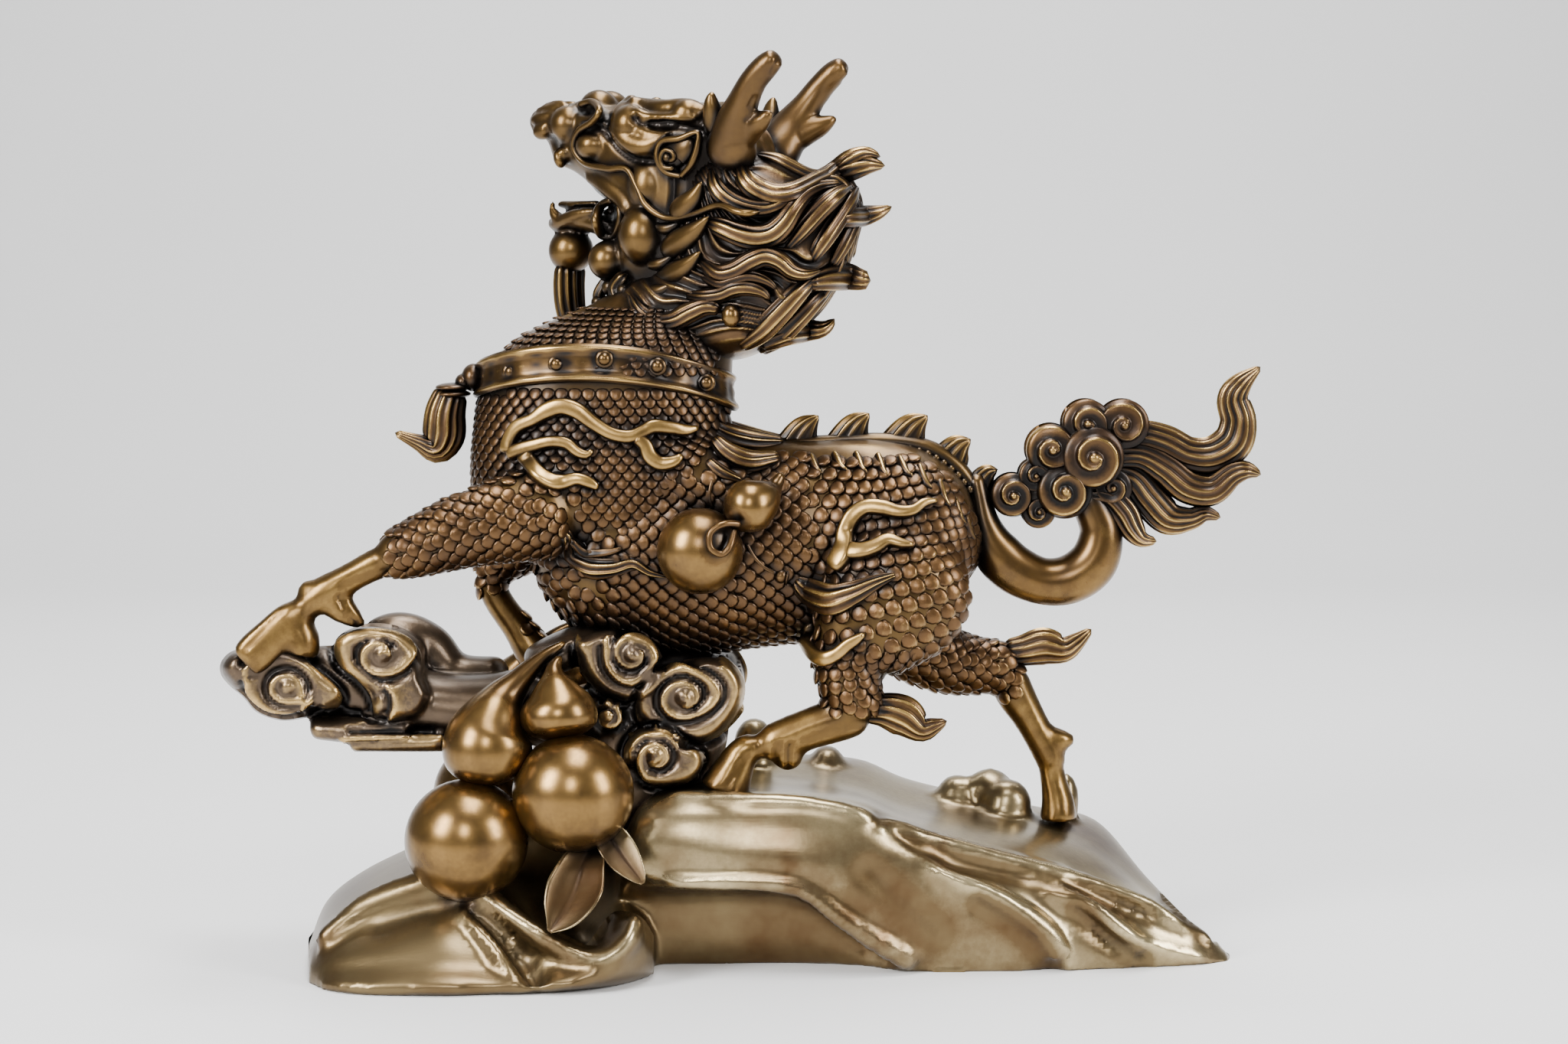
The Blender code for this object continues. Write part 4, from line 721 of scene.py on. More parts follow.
def flameShell(path):
    # a smooth band with steep sides and a nearly flat top, rubbed brighter than the scales round it
    wider = [(x, z, flamePlan["wider"] * w) for x, z, w in path]
    band = skin.ribbon(wider, flamePlan["height"], sides=20, sink=flamePlan["sink"], boxy=0.6, step=1.4)
    return dict(band, relief=np.full(len(band["points"]), flamePlan["relief"]))


def makeFlames():
    addPiece("flames", both([flameShell(path) for path in flamePaths]), brassFlesh)


makeFlames()

collarPlan = dict(halfWidth=8.6, railAt=6.6, railWidth=1.5, stipple=2.1, grain=0.4)


def makeCollar():
    # around the neck the strap's middle line rises by 12 |sin|^1.5 to the sides and dips at the throat; across,
    # it is a band with a round rail on either rim. The stipple is a product of two cosines
    around = np.linspace(0, math.tau, 320, endpoint=False)[:, None]
    share = np.linspace(0, math.tau, 28, endpoint=False)[None]
    lift = collarPlan["halfWidth"] * np.sign(np.cos(share)) * np.abs(np.cos(share)) ** 0.8
    rail = np.exp(-(((np.abs(lift) - collarPlan["railAt"]) / collarPlan["railWidth"]) ** 2))
    out = np.sin(share) > -0.02
    swell = np.where(out, 0.7 + 2.0 * rail, -2.6) + 0 * around
    along = around * 49 * math.tau / collarPlan["stipple"] / 6.28
    dots = np.cos(along) * np.cos(math.tau * lift / collarPlan["stipple"]) * (np.abs(lift) < 4.9) * out
    swell = swell + collarPlan["grain"] * dots
    rise = 264 + 12 * np.abs(np.sin(around)) ** 1.5 + lift - 3 * np.cos(around)
    x = -62.5 + (58.6 + swell - 0.09 * (rise - 262)) * np.cos(around)
    y = (36.4 + swell - 0.05 * (rise - 262)) * np.sin(around)
    rings = np.stack(np.broadcast_arrays(x, y, rise), -1)
    relief = np.clip(0.42 + 0.5 * rail + 0.35 * dots, 0, 1)
    shells = [hoop(rings, relief)]
    for x, z, y in ((-106, 270.5, -23), (-85, 274, -33), (-63, 276.5, -37), (-38.5, 273, -34), (-16, 265.5, -24)):
        stud = [egg(x, z, y - 0.6, 3.0, 2.6, around=24), egg(x, z, y + 0.2, 4.3, 1.7, around=28)]
        shells += both(stud)
    addPiece("collar", shells, brassSmooth)


makeCollar()


def makeBreastTassel():
    skirt = limb([(-133, 263, 0, 7.5, 8), (-136.5, 252, 0, 9.5, 9), (-137.5, 241, 0, 10, 9), (-141, 235, 0, 7, 7),
                  (-149, 238, 0, 4, 4.5), (-160, 242.5, 0, 1.5, 1.8)], sides=72, step=1.8, strands=14, cut=1.5,
                 blunt=(0.5, 0.4))
    cap = [egg(-123.5, 268, 0, 5.5, 7.5, 6.5), egg(-133, 263.5, 0, 8, 9, 2.2), egg(-133, 260.5, 0, 8.4, 9.4, 2.2),
           egg(-128, 266, 0, 4, 6, 4)]
    addPiece("breast_tassel", [skirt, *cap], brassHair)


makeBreastTassel()


def makeHangingGourds():
    gourd = [
        egg(-19, 187.5, -45, 19.5, 17, 19.5, around=56),
        limb([(-6, 200, -46, 8, 8), (0, 205, -46, 11, 11), (5, 209, -46, 12.3, 12), (11, 213, -44, 9, 9),
              (15.5, 217.5, -41, 4, 4), (19.5, 224, -39, 1.8, 2)], 36, 1.4),
    ]
    cord = [
        limb([(0, 200, -57, 1.6, 1.6), (-8, 200, -61, 1.6, 1.6), (-14, 196, -62.5, 1.6, 1.6),
              (-14, 189, -63, 1.6, 1.6), (-9, 186, -63, 1.6, 1.6), (-5, 190, -62, 1.6, 1.6),
              (-3, 198, -57.5, 1.6, 1.6)], 12, 0.9),
        skin.ribbon([(-13, 222, 1.4), (-14.5, 214, 1.4), (-13, 207, 1.4)], 3.4, sides=14),
        skin.ribbon([(2, 192, 1.4), (6, 185, 1.4), (11, 180, 1.4), (17, 177, 1.4)], 3.6, sides=14),
        skin.ribbon([(15, 176.5, 3.2), (19, 175.8, 4.2), (22, 175.2, 3.6)], 5.6, sides=24),
        skin.ribbon([(20, 175.6, 4.6), (22.5, 175.2, 4.6)], 5.9, sides=24, blunt=(0.3, 0.3)),
    ]
    tassel = skin.ribbon([(24, 175, 5), (32, 170, 8.5), (42, 165.5, 9.5), (52, 168.5, 7), (62, 173, 4.5),
                          (72.5, 176.5, 1.3)], 7.5, sides=60, sink=0.3, strands=11, cut=1.5, step=1.5)
    addPiece("hanging_gourds", both(gourd), brassSmooth)
    addPiece("flank_tassels", both([*cord, tassel]), brassHair)


makeHangingGourds()


def makeTufts():
    elbow = [
        skin.ribbon([(-83, 197, 4), (-79, 187, 6.5), (-70, 180, 6.5), (-59, 180, 5.5), (-50, 182, 4.5),
                     (-42, 178, 3), (-33, 176, 1)], 6.0, sides=50, strands=10, cut=1.5, step=1.6),
        skin.ribbon([(-80, 193, 2), (-72, 187, 3), (-62, 187, 2.6), (-54, 189, 1)], 5.4, sides=30, strands=6,
                    cut=1.2, step=1.6),
    ]
    roots = ((33, 231, 5, -8), (44, 232, 6, -8), (54, 232, 5, -9), (64, 231, 5, -10), (74, 230, 6, -9),
             (83, 226, 6, -11), (92, 219, 5, -12), (99, 211, 5, -12), (104, 203, 4, -11))
    leaves = [skin.ribbon([(x - 0.2 * dx, z - 0.2 * dz, 2.2), (x + 0.2 * dx, z + 0.3 * dz, 3.4),
                           (x + 0.5 * dx, z + 0.7 * dz, 2.6), (x + dx, z + dz, 0.7)], 3.4, sides=24, strands=4,
                           cut=0.9, step=1.5)
              for x, z, dx, dz in roots]
    y, f = -36, 30
    hocks = [
        lock([(56, 112, y, 5), (66, 113, y, 8), (76, 110, y, 9.5), (84, 104, y, 6), (90, 105.5, y, 4),
              (96, 108, y, 1.2)], 5.5, 10, 1.6, 46, 1.6),
        lock([(122, 140, f, 6), (131, 141, f, 7.5), (141, 143, f, 9), (150, 141.5, f, 6.5), (156, 145, f, 4.5),
              (163, 151, f, 1.4)], 5.5, 10, 1.6, 46, 1.6),
    ]
    hair = [
        lock([(-14, 246, -12, 4), (-6, 241, -12, 6), (6, 238, -8, 6), (20, 238, -4, 3)], 6, 10, 1.5, 46, 1.7),
        lock([(-13, 240, -24, 3), (-6, 233, -27, 5), (4, 229, -26, 5.5), (18, 231, -20, 3)], 5, 10, 1.5, 46, 1.7),
        lock([(-16, 230, -31, 2.5), (-9, 224, -33, 3.5), (1, 220, -33, 1.5)], 4, 6, 1.0, 30, 1.6),
    ]
    addPiece("tufts", both([*elbow, *leaves, *hair]) + hocks, brassHair)


makeTufts()


def makeSpines():
    blades = []
    for (bx, bz), (tx, tz), half in (
        ((21, 236), (36, 250.5), 11), ((45, 238), (59.5, 251.5), 11), ((70, 237.5), (86.5, 250.5), 12),
        ((92, 230), (106.5, 239.5), 11), ((107, 220), (119, 225.5), 8),
    ):
        belly = (bx + 0.55 * (tx - bx), bz + 0.52 * (tz - bz))
        blades.append(limb([(bx, bz - 8, 0, half, 3.8), (*belly, 0, half * 0.66, 3), (tx, tz, 0, 0.8, 1)], 40,
                           1.2, strands=8, cut=0.9, blunt=(0.3, 0.3)))
    ridge = limb([(14, 236, 0, 4, 5), (40, 237, 0, 4.5, 5), (66, 238, 0, 4.5, 5), (86, 235, 0, 4.5, 5),
                  (99, 227, 0, 4.5, 5), (108, 216, 0, 4, 5)], 24, 1.4)
    line = evenly([sight(x, z, -5.5) for x, z in ((14, 234.5), (40, 235.5), (66, 236), (85, 233), (98, 225),
                                                  (106, 216))],
                  4.2)
    beads = []
    for spot in line:
        bead = egg(0, 0, 0, 2.0, around=10)
        beads.append(dict(bead, points=bead["points"] - sight(0, 0, 0) + spot))
    addPiece("spines", [ridge, *blades, *both(beads)], brassFlesh)


makeSpines()
print("trim made")


# Head. Its base is a pillow: the head's outline filled up to a half depth, with the features laid on it

headPlan = dict(cell=1.12, smoothing=3, lip=1.7, rounding=11.0)


def pillow(outline, centre, depthAt, rounding, place, mirror, around=300, rings=60, carve=None):
    # rings shrink from the outline to its centre. The half depth at each point is depthAt times a quarter circle
    # of the distance to the outline, plus what carve adds, and the far side is the mirrored near one
    count = len(outline)
    looped = np.array([*outline[-2:], *outline, *outline[:2]], float)
    edge = spline(looped, 16 * (count + 3) + 1)[32:32 + 16 * count + 1]
    along = np.concatenate([[0], np.cumsum(np.linalg.norm(np.diff(edge, axis=0), axis=1))])
    stops = np.linspace(0, along[-1], around, endpoint=False)
    edge = np.stack([np.interp(stops, along, column) for column in edge.T], 1)
    share = np.linspace(0.02, 1, rings)[:, None, None]
    flat = np.array(centre, float) + (edge - centre) * share
    points = flat.reshape(-1, 2)
    gap = np.concatenate([np.sqrt(((part[:, None] - edge[None]) ** 2).sum(-1)).min(1)
                          for part in np.array_split(points, 24)])
    near = np.clip(gap / rounding, 0, 1)
    fall = np.sqrt(1 - (1 - near) ** 2)
    high, relief = depthAt(*points.T) * fall, np.full(len(points), 0.55)
    if carve:
        lift, relief = carve(*points.T)
        high = high + lift * np.clip(gap / 3, 0, 1)
    sheet = place(points[:, 0], points[:, 1], np.where(near > 0, high, 0)).reshape(rings, around, 3)
    back = mirror(dict(points=sheet.reshape(-1, 3), quads=np.zeros((0, 4), int),
                       tris=np.zeros((0, 3), int)))["points"]
    back = back.reshape(rings, around, 3)[-2::-1]
    values = relief.reshape(rings, around)
    return closed(np.concatenate([sheet, back]), sheet[0].mean(0), back[-1].mean(0),
                  np.concatenate([values, values[-2::-1]]))


headOutline = [
    (-97, 386), (-95, 390), (-90, 392), (-80, 393), (-73, 395), (-65, 396), (-58, 393), (-50, 394), (-42, 393),
    (-30, 394), (-18, 394), (-8, 391), (2, 387), (9, 380), (13, 368), (12, 350), (6, 330), (-4, 312), (-20, 301),
    (-38, 299), (-51, 302), (-57, 311), (-62, 320), (-61, 330), (-60, 338), (-61, 348), (-66, 353), (-71, 358.5),
    (-77, 363), (-85, 367), (-89, 377), (-95, 380)]


def headHalf(x, z):  # half depth of the head's base, read along the muzzle and down the jaw
    return np.interp(x, [-97, -88, -80, -70, -60, -50, -40, -25, -12, 0, 14],
                     [5, 10, 14, 18.5, 22, 24.5, 26.5, 27, 23, 16, 9]) \
        * np.interp(z, [300, 320, 345, 400], [0.82, 0.94, 1, 1])


def headPlace(x, z, out):
    return sight(x, z, headDepth(x, out))


headBase = pillow(headOutline, (-42, 358), headHalf, headPlan["rounding"], headPlace, acrossHead, 220, 40)


def baseOut(x, z):  # how far out the base stands at one spot
    looped = np.array([*headOutline, headOutline[0]], float)
    a, b = looped[:-1], looped[1:]
    t = np.clip((([x, z] - a) * (b - a)).sum(1) / ((b - a) ** 2).sum(1), 0, 1)
    gap = np.linalg.norm(a + t[:, None] * (b - a) - [x, z], axis=1).min()
    near = min(gap / headPlan["rounding"], 1)
    return float(headHalf(x, z)) * math.sqrt(1 - (1 - near) ** 2)


def face(stations, sides=24, step=1.4, **more):
    # stations: x, z, out from the head's middle plane, half width, half depth
    rows = [(x, z, headDepth(x, out), across, deep) for x, z, out, across, deep in stations]
    return limb(rows, sides, step, headSide, **more)


def onFace(stations, sides=24, step=1.2, **more):
    # stations: x, z, lift off the head's base, half width, half depth
    return face([(x, z, baseOut(x, z) + lift, across, deep) for x, z, lift, across, deep in stations], sides,
                step, **more)


def faceBall(x, z, out, radius, tall=None, around=40):
    return egg(x, z, headDepth(x, out), radius, radius, tall or radius, around)


def ballOn(x, z, lift, radius, tall=None, around=40):
    return faceBall(x, z, baseOut(x, z) + lift, radius, tall, around)


def makeHead():
    middle = [
        headBase,
        face([(-64, 388, 0, 9, 12), (-70, 388, 0, 8, 11), (-84, 384, 0, 6, 10)]),
        face([(-40, 338, 0, 11, 22), (-54, 338, 0, 8, 19), (-66, 339.5, 0, 5.4, 15), (-76, 340, 0, 4.6, 12),
              (-82.5, 338.5, 0, 4.4, 8)], 32),
        faceBall(-78, 326.5, 2, 10.7),
        face([(-64, 347.6, 8, 2, 3), (-74, 347.4, 6, 2, 3), (-83, 347.6, 0, 1.8, 3)]),
        face([(-65, 344.4, 15, 2, 2), (-73, 343.6, 14.4, 2.8, 2.6), (-80, 341, 12, 3.2, 2.8),
              (-84.6, 338.6, 7, 3.2, 3), (-86, 339.4, 0, 3, 3)]),
        face([(-83, 340, 10, 3.2, 3), (-86, 344, 9, 2.4, 2.2), (-86.4, 349.6, 8, 0.8, 0.9)]),
    ]
    pairs = [
        faceBall(-65, 390.8, 5, 9.4), faceBall(-79, 384, 9, 8.8, 9), faceBall(-50, 394.5, 12, 3.4),
        faceBall(-37, 391.5, 14, 4.2), ballOn(-24, 389.5, -1, 8, 6.5),
        ballOn(-67, 374.5, -4.6, 9, 7.4), ballOn(-44.6, 333.5, -3, 11.8, 13.5),
        faceBall(-61, 322, 15, 9.4), ballOn(-41, 356, -8.5, 11, 14), ballOn(-50, 384, -2.5, 9.4, 9.4),
        onFace([(-50, 394, 5, 3, 3.6), (-54.5, 389, 2.6, 4.2, 4.2), (-54.5, 381, 1.6, 5, 5),
                (-50, 376, 1.8, 5.4, 5), (-43, 374.4, 1.6, 4.8, 4.4), (-37, 377, 1.2, 3, 3),
                (-32.6, 381, 0.8, 0.9, 1)], 32),
        onFace([(-53, 393.5, 8, 1.6, 2.4), (-47.5, 390, 6.5, 2.3, 3), (-41, 387.6, 3.5, 2.2, 3),
                (-30, 387.2, 2.2, 2.4, 3), (-19, 387, 1.6, 1.4, 2)]),
        onFace([(-50.5, 386.5, 2.2, 1.2, 1.6), (-48, 382, 2.2, 2, 2.4), (-42, 379.8, 2.2, 2.1, 2.4),
                (-34.3, 380.2, 1.6, 0.8, 1)]),
        ballOn(-43.5, 384.4, 0.2, 4.4, 3.8),
        onFace([(-52, 395, 9, 2.6, 3.6), (-44, 392.6, 7, 3.8, 5), (-34, 391.5, 5, 4.2, 5),
                (-24, 391.5, 3.4, 4.6, 5), (-15, 388, 2, 3.6, 4)]),
        face([(-81.5, 374, 12, 4, 4), (-82.5, 368, 13, 3.6, 3.6), (-82, 363.5, 13, 1.5, 1.5)]),
        face([(-11, 379, 24, 6, 5), (-12.5, 389, 29, 5, 4), (-13.3, 395, 31, 3.4, 3),
              (-13, 399.8, 32, 0.9, 1.2)]),
        face([(-94, 380.6, 7, 3.6, 4), (-90, 381.4, 9, 4.4, 4.4), (-84, 383.5, 10, 4, 4)], 28),
        face([(-95.2, 385.6, 4, 2.6, 3), (-91, 386.6, 7, 3.4, 3.6), (-84, 388, 8, 3.4, 4)], 28),
        face([(-93.6, 389.6, 3, 1.8, 2), (-88, 391, 5, 2.6, 3), (-81.5, 391.6, 6, 2.2, 3)], 24),
        face([(-90, 392.4, 3, 1.3, 2), (-84, 393.6, 4, 1.8, 2.4), (-79, 393.2, 5, 1.4, 2)], 20),
        onFace([(-70, 361, -3, 3, 3), (-62, 357, -2.4, 5, 3.5), (-55, 351, -1.8, 5, 3.5), (-51, 344, -1, 4, 3)]),
    ]
    flesh_ = fused([*middle, *both(pairs, acrossHead)], headPlan["cell"], headPlan["smoothing"])
    lines = [  # cheek furrows, the eye slit, the nostril's hollow, the folds over the brow and along the muzzle
        ([(-72, 383.6), (-66, 383.6), (-61, 379), (-56, 373), (-49, 368.3), (-40, 367)], -1.8, 1.3, False),
        ([(-60, 388), (-62, 382), (-61, 378)], -1.1, 1.2, False),
        ([(-49, 387.4), (-46, 384.6), (-41, 384.4), (-36, 384.6), (-31, 384)], -1.6, 1.3, False),
        ([(-73, 391.5), (-70.5, 391)], -2.4, 2.3, False),
        ([(-35, 384), (-26, 383), (-18, 381)], -1.5, 1.5, False),
        ([(-60.5, 345), (-60.5, 338)], -3.2, 2.4, False),
        ([(-86, 378), (-84, 372), (-80, 367)], -1.0, 1.3, False),
        ([(-89, 383), (-88, 379)], -1.1, 1.1, False),
        ([(-31, 364), (-31, 354), (-32, 344)], -1.4, 1.5, False),
        ([(-76, 346.5), (-68, 347)], -0.8, 0.9, False),
    ]
    flesh_ = creased(creased(flesh_, lines), lines, "head")
    addPiece("head", flesh_, brassFlesh)


def makeLipsAndEars():
    w = headPlan["lip"]
    lip = onFace([(-74, 393, 3.5, w, 2), (-68, 394.4, 6, w, 2), (-64.6, 390.4, 6.5, w, 2),
                  (-68, 385.3, 3.4, w, 2), (-74, 381, 3, w, 2), (-76.4, 374, 1.8, w, 2), (-71.5, 366.8, 2, w, 2),
                  (-61, 364, 1.2, w, 2), (-52, 363.8, 1.2, w, 2), (-47, 355, 1.8, w, 2), (-43, 347, 2.2, w, 2),
                  (-34, 341.5, 2, w, 2), (-22, 343, 4.5, w, 2), (-10, 347.2, 10.5, w, 2), (-2, 344.5, 18, w, 2),
                  (4, 343.6, 21.5, w, 2), (11, 344.6, 24, 0.7, 1)], 16, 1.2)
    hook = onFace([(-58, 350, 1, 2, 2.6), (-64, 347, 1.4, 2, 2.6), (-66.4, 340, 5.5, 2, 2.6),
                   (-63.5, 333.4, 3.2, 2, 2.6), (-58, 333.6, 1.2, 2, 2.6), (-55, 340, 1.0, 2, 2.6),
                   (-55.5, 348, 0.6, 1.6, 2.2)], 16, 0.9)
    ear = [
        onFace([(-27, 360.5, 2, 1.5, 2), (-34, 362.6, 3, 1.7, 2), (-38, 369, 4, 1.7, 2), (-36, 376, 4, 1.7, 2),
                (-28, 377.6, 4.5, 1.7, 2), (-19.5, 380.4, 5, 1.3, 2), (-19.6, 374, 5, 1.6, 2),
                (-22.5, 366, 4, 1.7, 2), (-27, 360.5, 2, 1.5, 2)], 18, 0.8, blunt=(0, 0)),
        onFace([(-29, 364, 1, 6, 3), (-30, 370, 1.4, 7, 3), (-25, 374, 2, 5.5, 3), (-21, 378, 3, 1.6, 2)], 40,
               1.2),
        onFace([(-30, 364, 3.6, 1.4, 1.8), (-35, 364.8, 4, 1.5, 1.8), (-36.4, 369, 4.4, 1.5, 1.8),
                (-34.4, 372.4, 4.4, 1.4, 1.8), (-30.9, 371.4, 4.4, 1.3, 1.8), (-30.5, 368.4, 4.4, 1.2, 1.6),
                (-33, 367.4, 4.2, 1.2, 1.5)], 16, 0.8),
        ballOn(-33.2, 369, 3, 2.8, around=24),
    ]
    tufts = [  # smooth pointed flames behind the cheek
        onFace([(-31, 341, -2, 4, 3), (-27, 345, 1, 6, 4.5), (-21.5, 350.5, 4, 4.6, 4),
                (-17.6, 358, 7.5, 0.8, 0.9)], 28, 1.4),
        onFace([(-36, 326, -2, 4, 3), (-29, 329.5, 1, 6.4, 4.8), (-21.5, 335, 5, 4.8, 4.2),
                (-14.6, 342, 10, 0.8, 0.9)], 28,
               1.4),
        onFace([(-38, 313, -2, 4, 3), (-31, 315.5, 1.5, 5.8, 4.6), (-24.5, 319.6, 4.5, 4.4, 4),
                (-18.6, 326, 9, 0.8, 0.9)], 28, 1.4),
        onFace([(-49, 306, -1, 3.5, 3), (-43, 306.4, 3, 4.8, 4.4), (-37.5, 307.6, 5, 3.8, 3.8),
                (-31.6, 311, 6, 0.8, 0.9)],
               28, 1.4),
        onFace([(-40, 338, -1, 2, 2), (-34, 336.5, 0, 3, 3), (-28, 339, 1, 1, 1)], 20, 1.4),
        onFace([(-43, 320, 0, 2, 2), (-37, 320.4, 0.5, 3, 3), (-31, 324, 1.5, 1, 1)], 20, 1.4),
    ]
    curls = [face([(-52, 316, 20, 3.8, 4), (-57, 309, 20, 4.4, 4), (-54, 303, 21, 3.6, 4),
                   (-50, 302, 22, 1.8, 2)], 40, 0.9,
                  strands=7, cut=0.9),
             face([(-61, 314, 14, 2.8, 3), (-65, 307, 15, 3.4, 3), (-65.4, 302, 15, 3, 3)], 30, 1.2, strands=6,
                  cut=0.7),
             faceBall(-65.4, 302.6, 15.6, 3.6), faceBall(-57.5, 303, 19, 3.4), faceBall(-53.5, 308, 21, 3.8),
             faceBall(-60, 309.5, 17, 4)]
    beard = face([(-78, 322, 0, 6, 11), (-79, 310, 0, 6.8, 10), (-78, 298, 0, 6.6, 9), (-74, 288, 0, 5, 8)], 60,
                 1.5, strands=12, cut=1.1)
    addPiece("lips_and_ears", both([lip, hook, *ear, *tufts, *curls], acrossHead) + [beard], brassFlesh)


def makeHorns():
    horn = [
        face([(-6, 364, 18, 12, 11), (-4, 374, 23, 12, 10), (-2, 385, 29, 9.6, 8), (1.5, 395, 33, 7.2, 7),
              (6, 404, 35, 6.2, 6.2), (12, 411, 35.5, 5.8, 5.8), (17.5, 415.6, 36, 4.2, 4.4)], 48, 1.1,
              blunt=(0.9, 0.6)),
        face([(0, 378, 25, 7.5, 6), (5, 383, 29, 6.6, 5), (9.5, 386, 32, 4.8, 4.2), (14.5, 389.8, 34, 1.3, 1.6)],
             40, 1.0),
    ]
    horns = fused(both(horn, acrossHead), 1.05, 3)
    dents = [([(4, 392), (6, 396)], -0.8, 1.6, False), ([(14.5, 408), (17.5, 413)], -1.0, 1.4, False),
             ([(-8, 372), (0, 374)], -0.5, 2.0, False), ([(2, 386), (8, 389)], -0.6, 1.2, False)]
    addPiece("horns", creased(creased(horns, dents), dents, "head"), brassHorn)


brassHorn = castBrass("brown_patinated_brass_horn", "#1c120b", "#5c4320", "#b88f56", "#402c17", (0.42, 0.3), 0.12,
                      mottle=0.7, patch=0.02)
makeHead()
makeLipsAndEars()
makeHorns()
print("head made")


# Mane: one mass whose strands follow drawn flow lines, with locks that stand out of it

manePlan = dict(thick=5.2, strands=9, cut=1.5, strandDepth=2.0, rounding=17.0)

maneOutline = [
    (-24, 368), (-14, 373), (-2, 374), (8, 372.5), (17, 369), (26, 364), (34, 360), (42, 361), (49, 360),
    (53, 352), (53, 342), (50, 331), (47, 322), (43, 313), (38, 305), (33, 297), (24, 288), (12, 281), (0, 276.5),
    (-14, 276), (-28, 279), (-42, 285), (-54, 295), (-57, 304), (-50, 312), (-40, 318), (-35, 330), (-32, 344),
    (-29, 358)]

flowLines = [  # the strands' lines over the mane, each with its number
    (0, [(2, 367), (8, 370.5), (15, 370), (23, 366.5), (31, 362), (38, 361), (45, 364), (50, 369)]),
    (2.5, [(-2, 366), (5, 363), (12, 361), (21, 357.5), (30, 358.5), (38, 359), (46, 364.5)]),
    (6, [(-7, 365), (-3, 358), (5, 353), (14, 350.5), (22, 350.5), (28, 353.5), (36, 356), (44, 357)]),
    (9, [(-12, 364), (-10, 356), (-5, 350.5), (3, 346), (12, 344), (19, 345.5), (26, 351.5), (34, 355.5),
         (44, 356.5)]),
    (14.5, [(-15, 356), (-12, 347), (-7, 339), (0, 333), (8, 330), (15, 331.5), (22, 338), (30, 345), (38, 350),
            (46, 353)]),
    (17, [(-14, 340), (-8, 331), (2, 327), (12, 326.5), (22, 330), (32, 336), (41, 344), (48, 350)]),
    (20, [(-18, 322), (-9, 318.5), (0, 321), (8, 325.5), (14, 326), (20, 322.5), (27, 317.5), (36, 317),
          (46, 324)]),
    (24, [(-22, 313), (-12, 311), (-2, 314.5), (6, 317), (14, 317), (22, 314), (30, 311), (40, 312)]),
    (27, [(-30, 305), (-18, 303.5), (-8, 305), (2, 309), (9, 308), (14, 303), (20, 300), (30, 304)]),
    (30, [(-46, 302), (-40, 296.5), (-32, 295), (-22, 298.5), (-12, 301.5), (-4, 300), (6, 298), (18, 297),
          (28, 298)]),
    (34, [(-46, 294), (-36, 289), (-24, 290), (-12, 294), (0, 294), (12, 291.5), (24, 290.5), (34, 292)]),
    (38, [(-40, 286), (-25, 281), (-10, 281), (4, 283), (16, 285), (28, 288)]),
]


def flowField(lines, spacing=7.0):
    # a smooth number over the plane that equals each line's own number along it: a thin-plate spline, whose
    # kernel is r^2 log r, through points on the lines
    knots, values = [], []
    for number, stations in lines:
        line = evenly(np.column_stack([stations, np.zeros(len(stations))]), spacing)[:, :2]
        knots.append(line)
        values.append(np.full(len(line), float(number)))
    knots, values = np.concatenate(knots), np.concatenate(values)

    def kernel(a, b):
        r2 = ((a[:, None] - b[None]) ** 2).sum(-1)
        return 0.5 * r2 * np.log(r2 + 1e-9)

    n = len(knots)
    table = np.zeros((n + 3, n + 3))
    table[:n, :n] = kernel(knots, knots) + 2.0 * np.eye(n)
    table[:n, n:] = np.column_stack([np.ones(n), knots])
    table[n:, :n] = table[:n, n:].T
    weights = np.linalg.solve(table, np.concatenate([values, [0, 0, 0]]))
    return lambda x, z: (kernel(np.stack([x, z], 1), knots) @ weights[:n]
                         + np.column_stack([np.ones(len(x)), x, z]) @ weights[n:])


maneFlow = flowField(flowLines)


def maneDepth(x, z):  # half depth of the mass, which is fullest behind the cheek
    return np.interp(x, [-56, -36, -16, 0, 20, 38, 55], [17, 21, 28, 34, 37, 32, 24]) + 0 * z


def maneOut(x, z):  # how far out the mass stands at one spot
    looped = np.array([*maneOutline, maneOutline[0]], float)
    a, b = looped[:-1], looped[1:]
    t = np.clip((([x, z] - a) * (b - a)).sum(1) / ((b - a) ** 2).sum(1), 0, 1)
    gap = np.linalg.norm(a + t[:, None] * (b - a) - [x, z], axis=1).min()
    side = (a[:, 1] > z) != (b[:, 1] > z)
    crossing = a[:, 0] + (z - a[:, 1]) * (b[:, 0] - a[:, 0]) / np.where(b[:, 1] == a[:, 1], 1, b[:, 1] - a[:, 1])
    inside = (side & (x < crossing)).sum() % 2 == 1
    near = min(gap / manePlan["rounding"], 1) if inside else 0
    return float(maneDepth(x, z)) * math.sqrt(1 - (1 - near) ** 2)


def maneStrands(x, z):  # broad strands along the flow with finer ones on them, calm on the lower bulk
    flow = 0.62 * maneFlow(x, z)
    crest = (0.5 + 0.5 * np.cos(math.tau * flow)) ** 1.2
    fine = 0.5 + 0.5 * np.cos(2 * math.tau * flow + 1.2 * np.sin(0.15 * x))
    calm = np.clip((z - 277 + 0.12 * x) / 14, 0.25, 1)
    lift = calm * (manePlan["strandDepth"] * (crest - 0.55) * (0.85 + 0.3 * np.sin(flow * 2.4)) + 0.4 * (fine - 0.5))
    return lift, np.clip(0.62 - 0.36 * calm + calm * (0.55 * crest + 0.2 * fine), 0, 1)


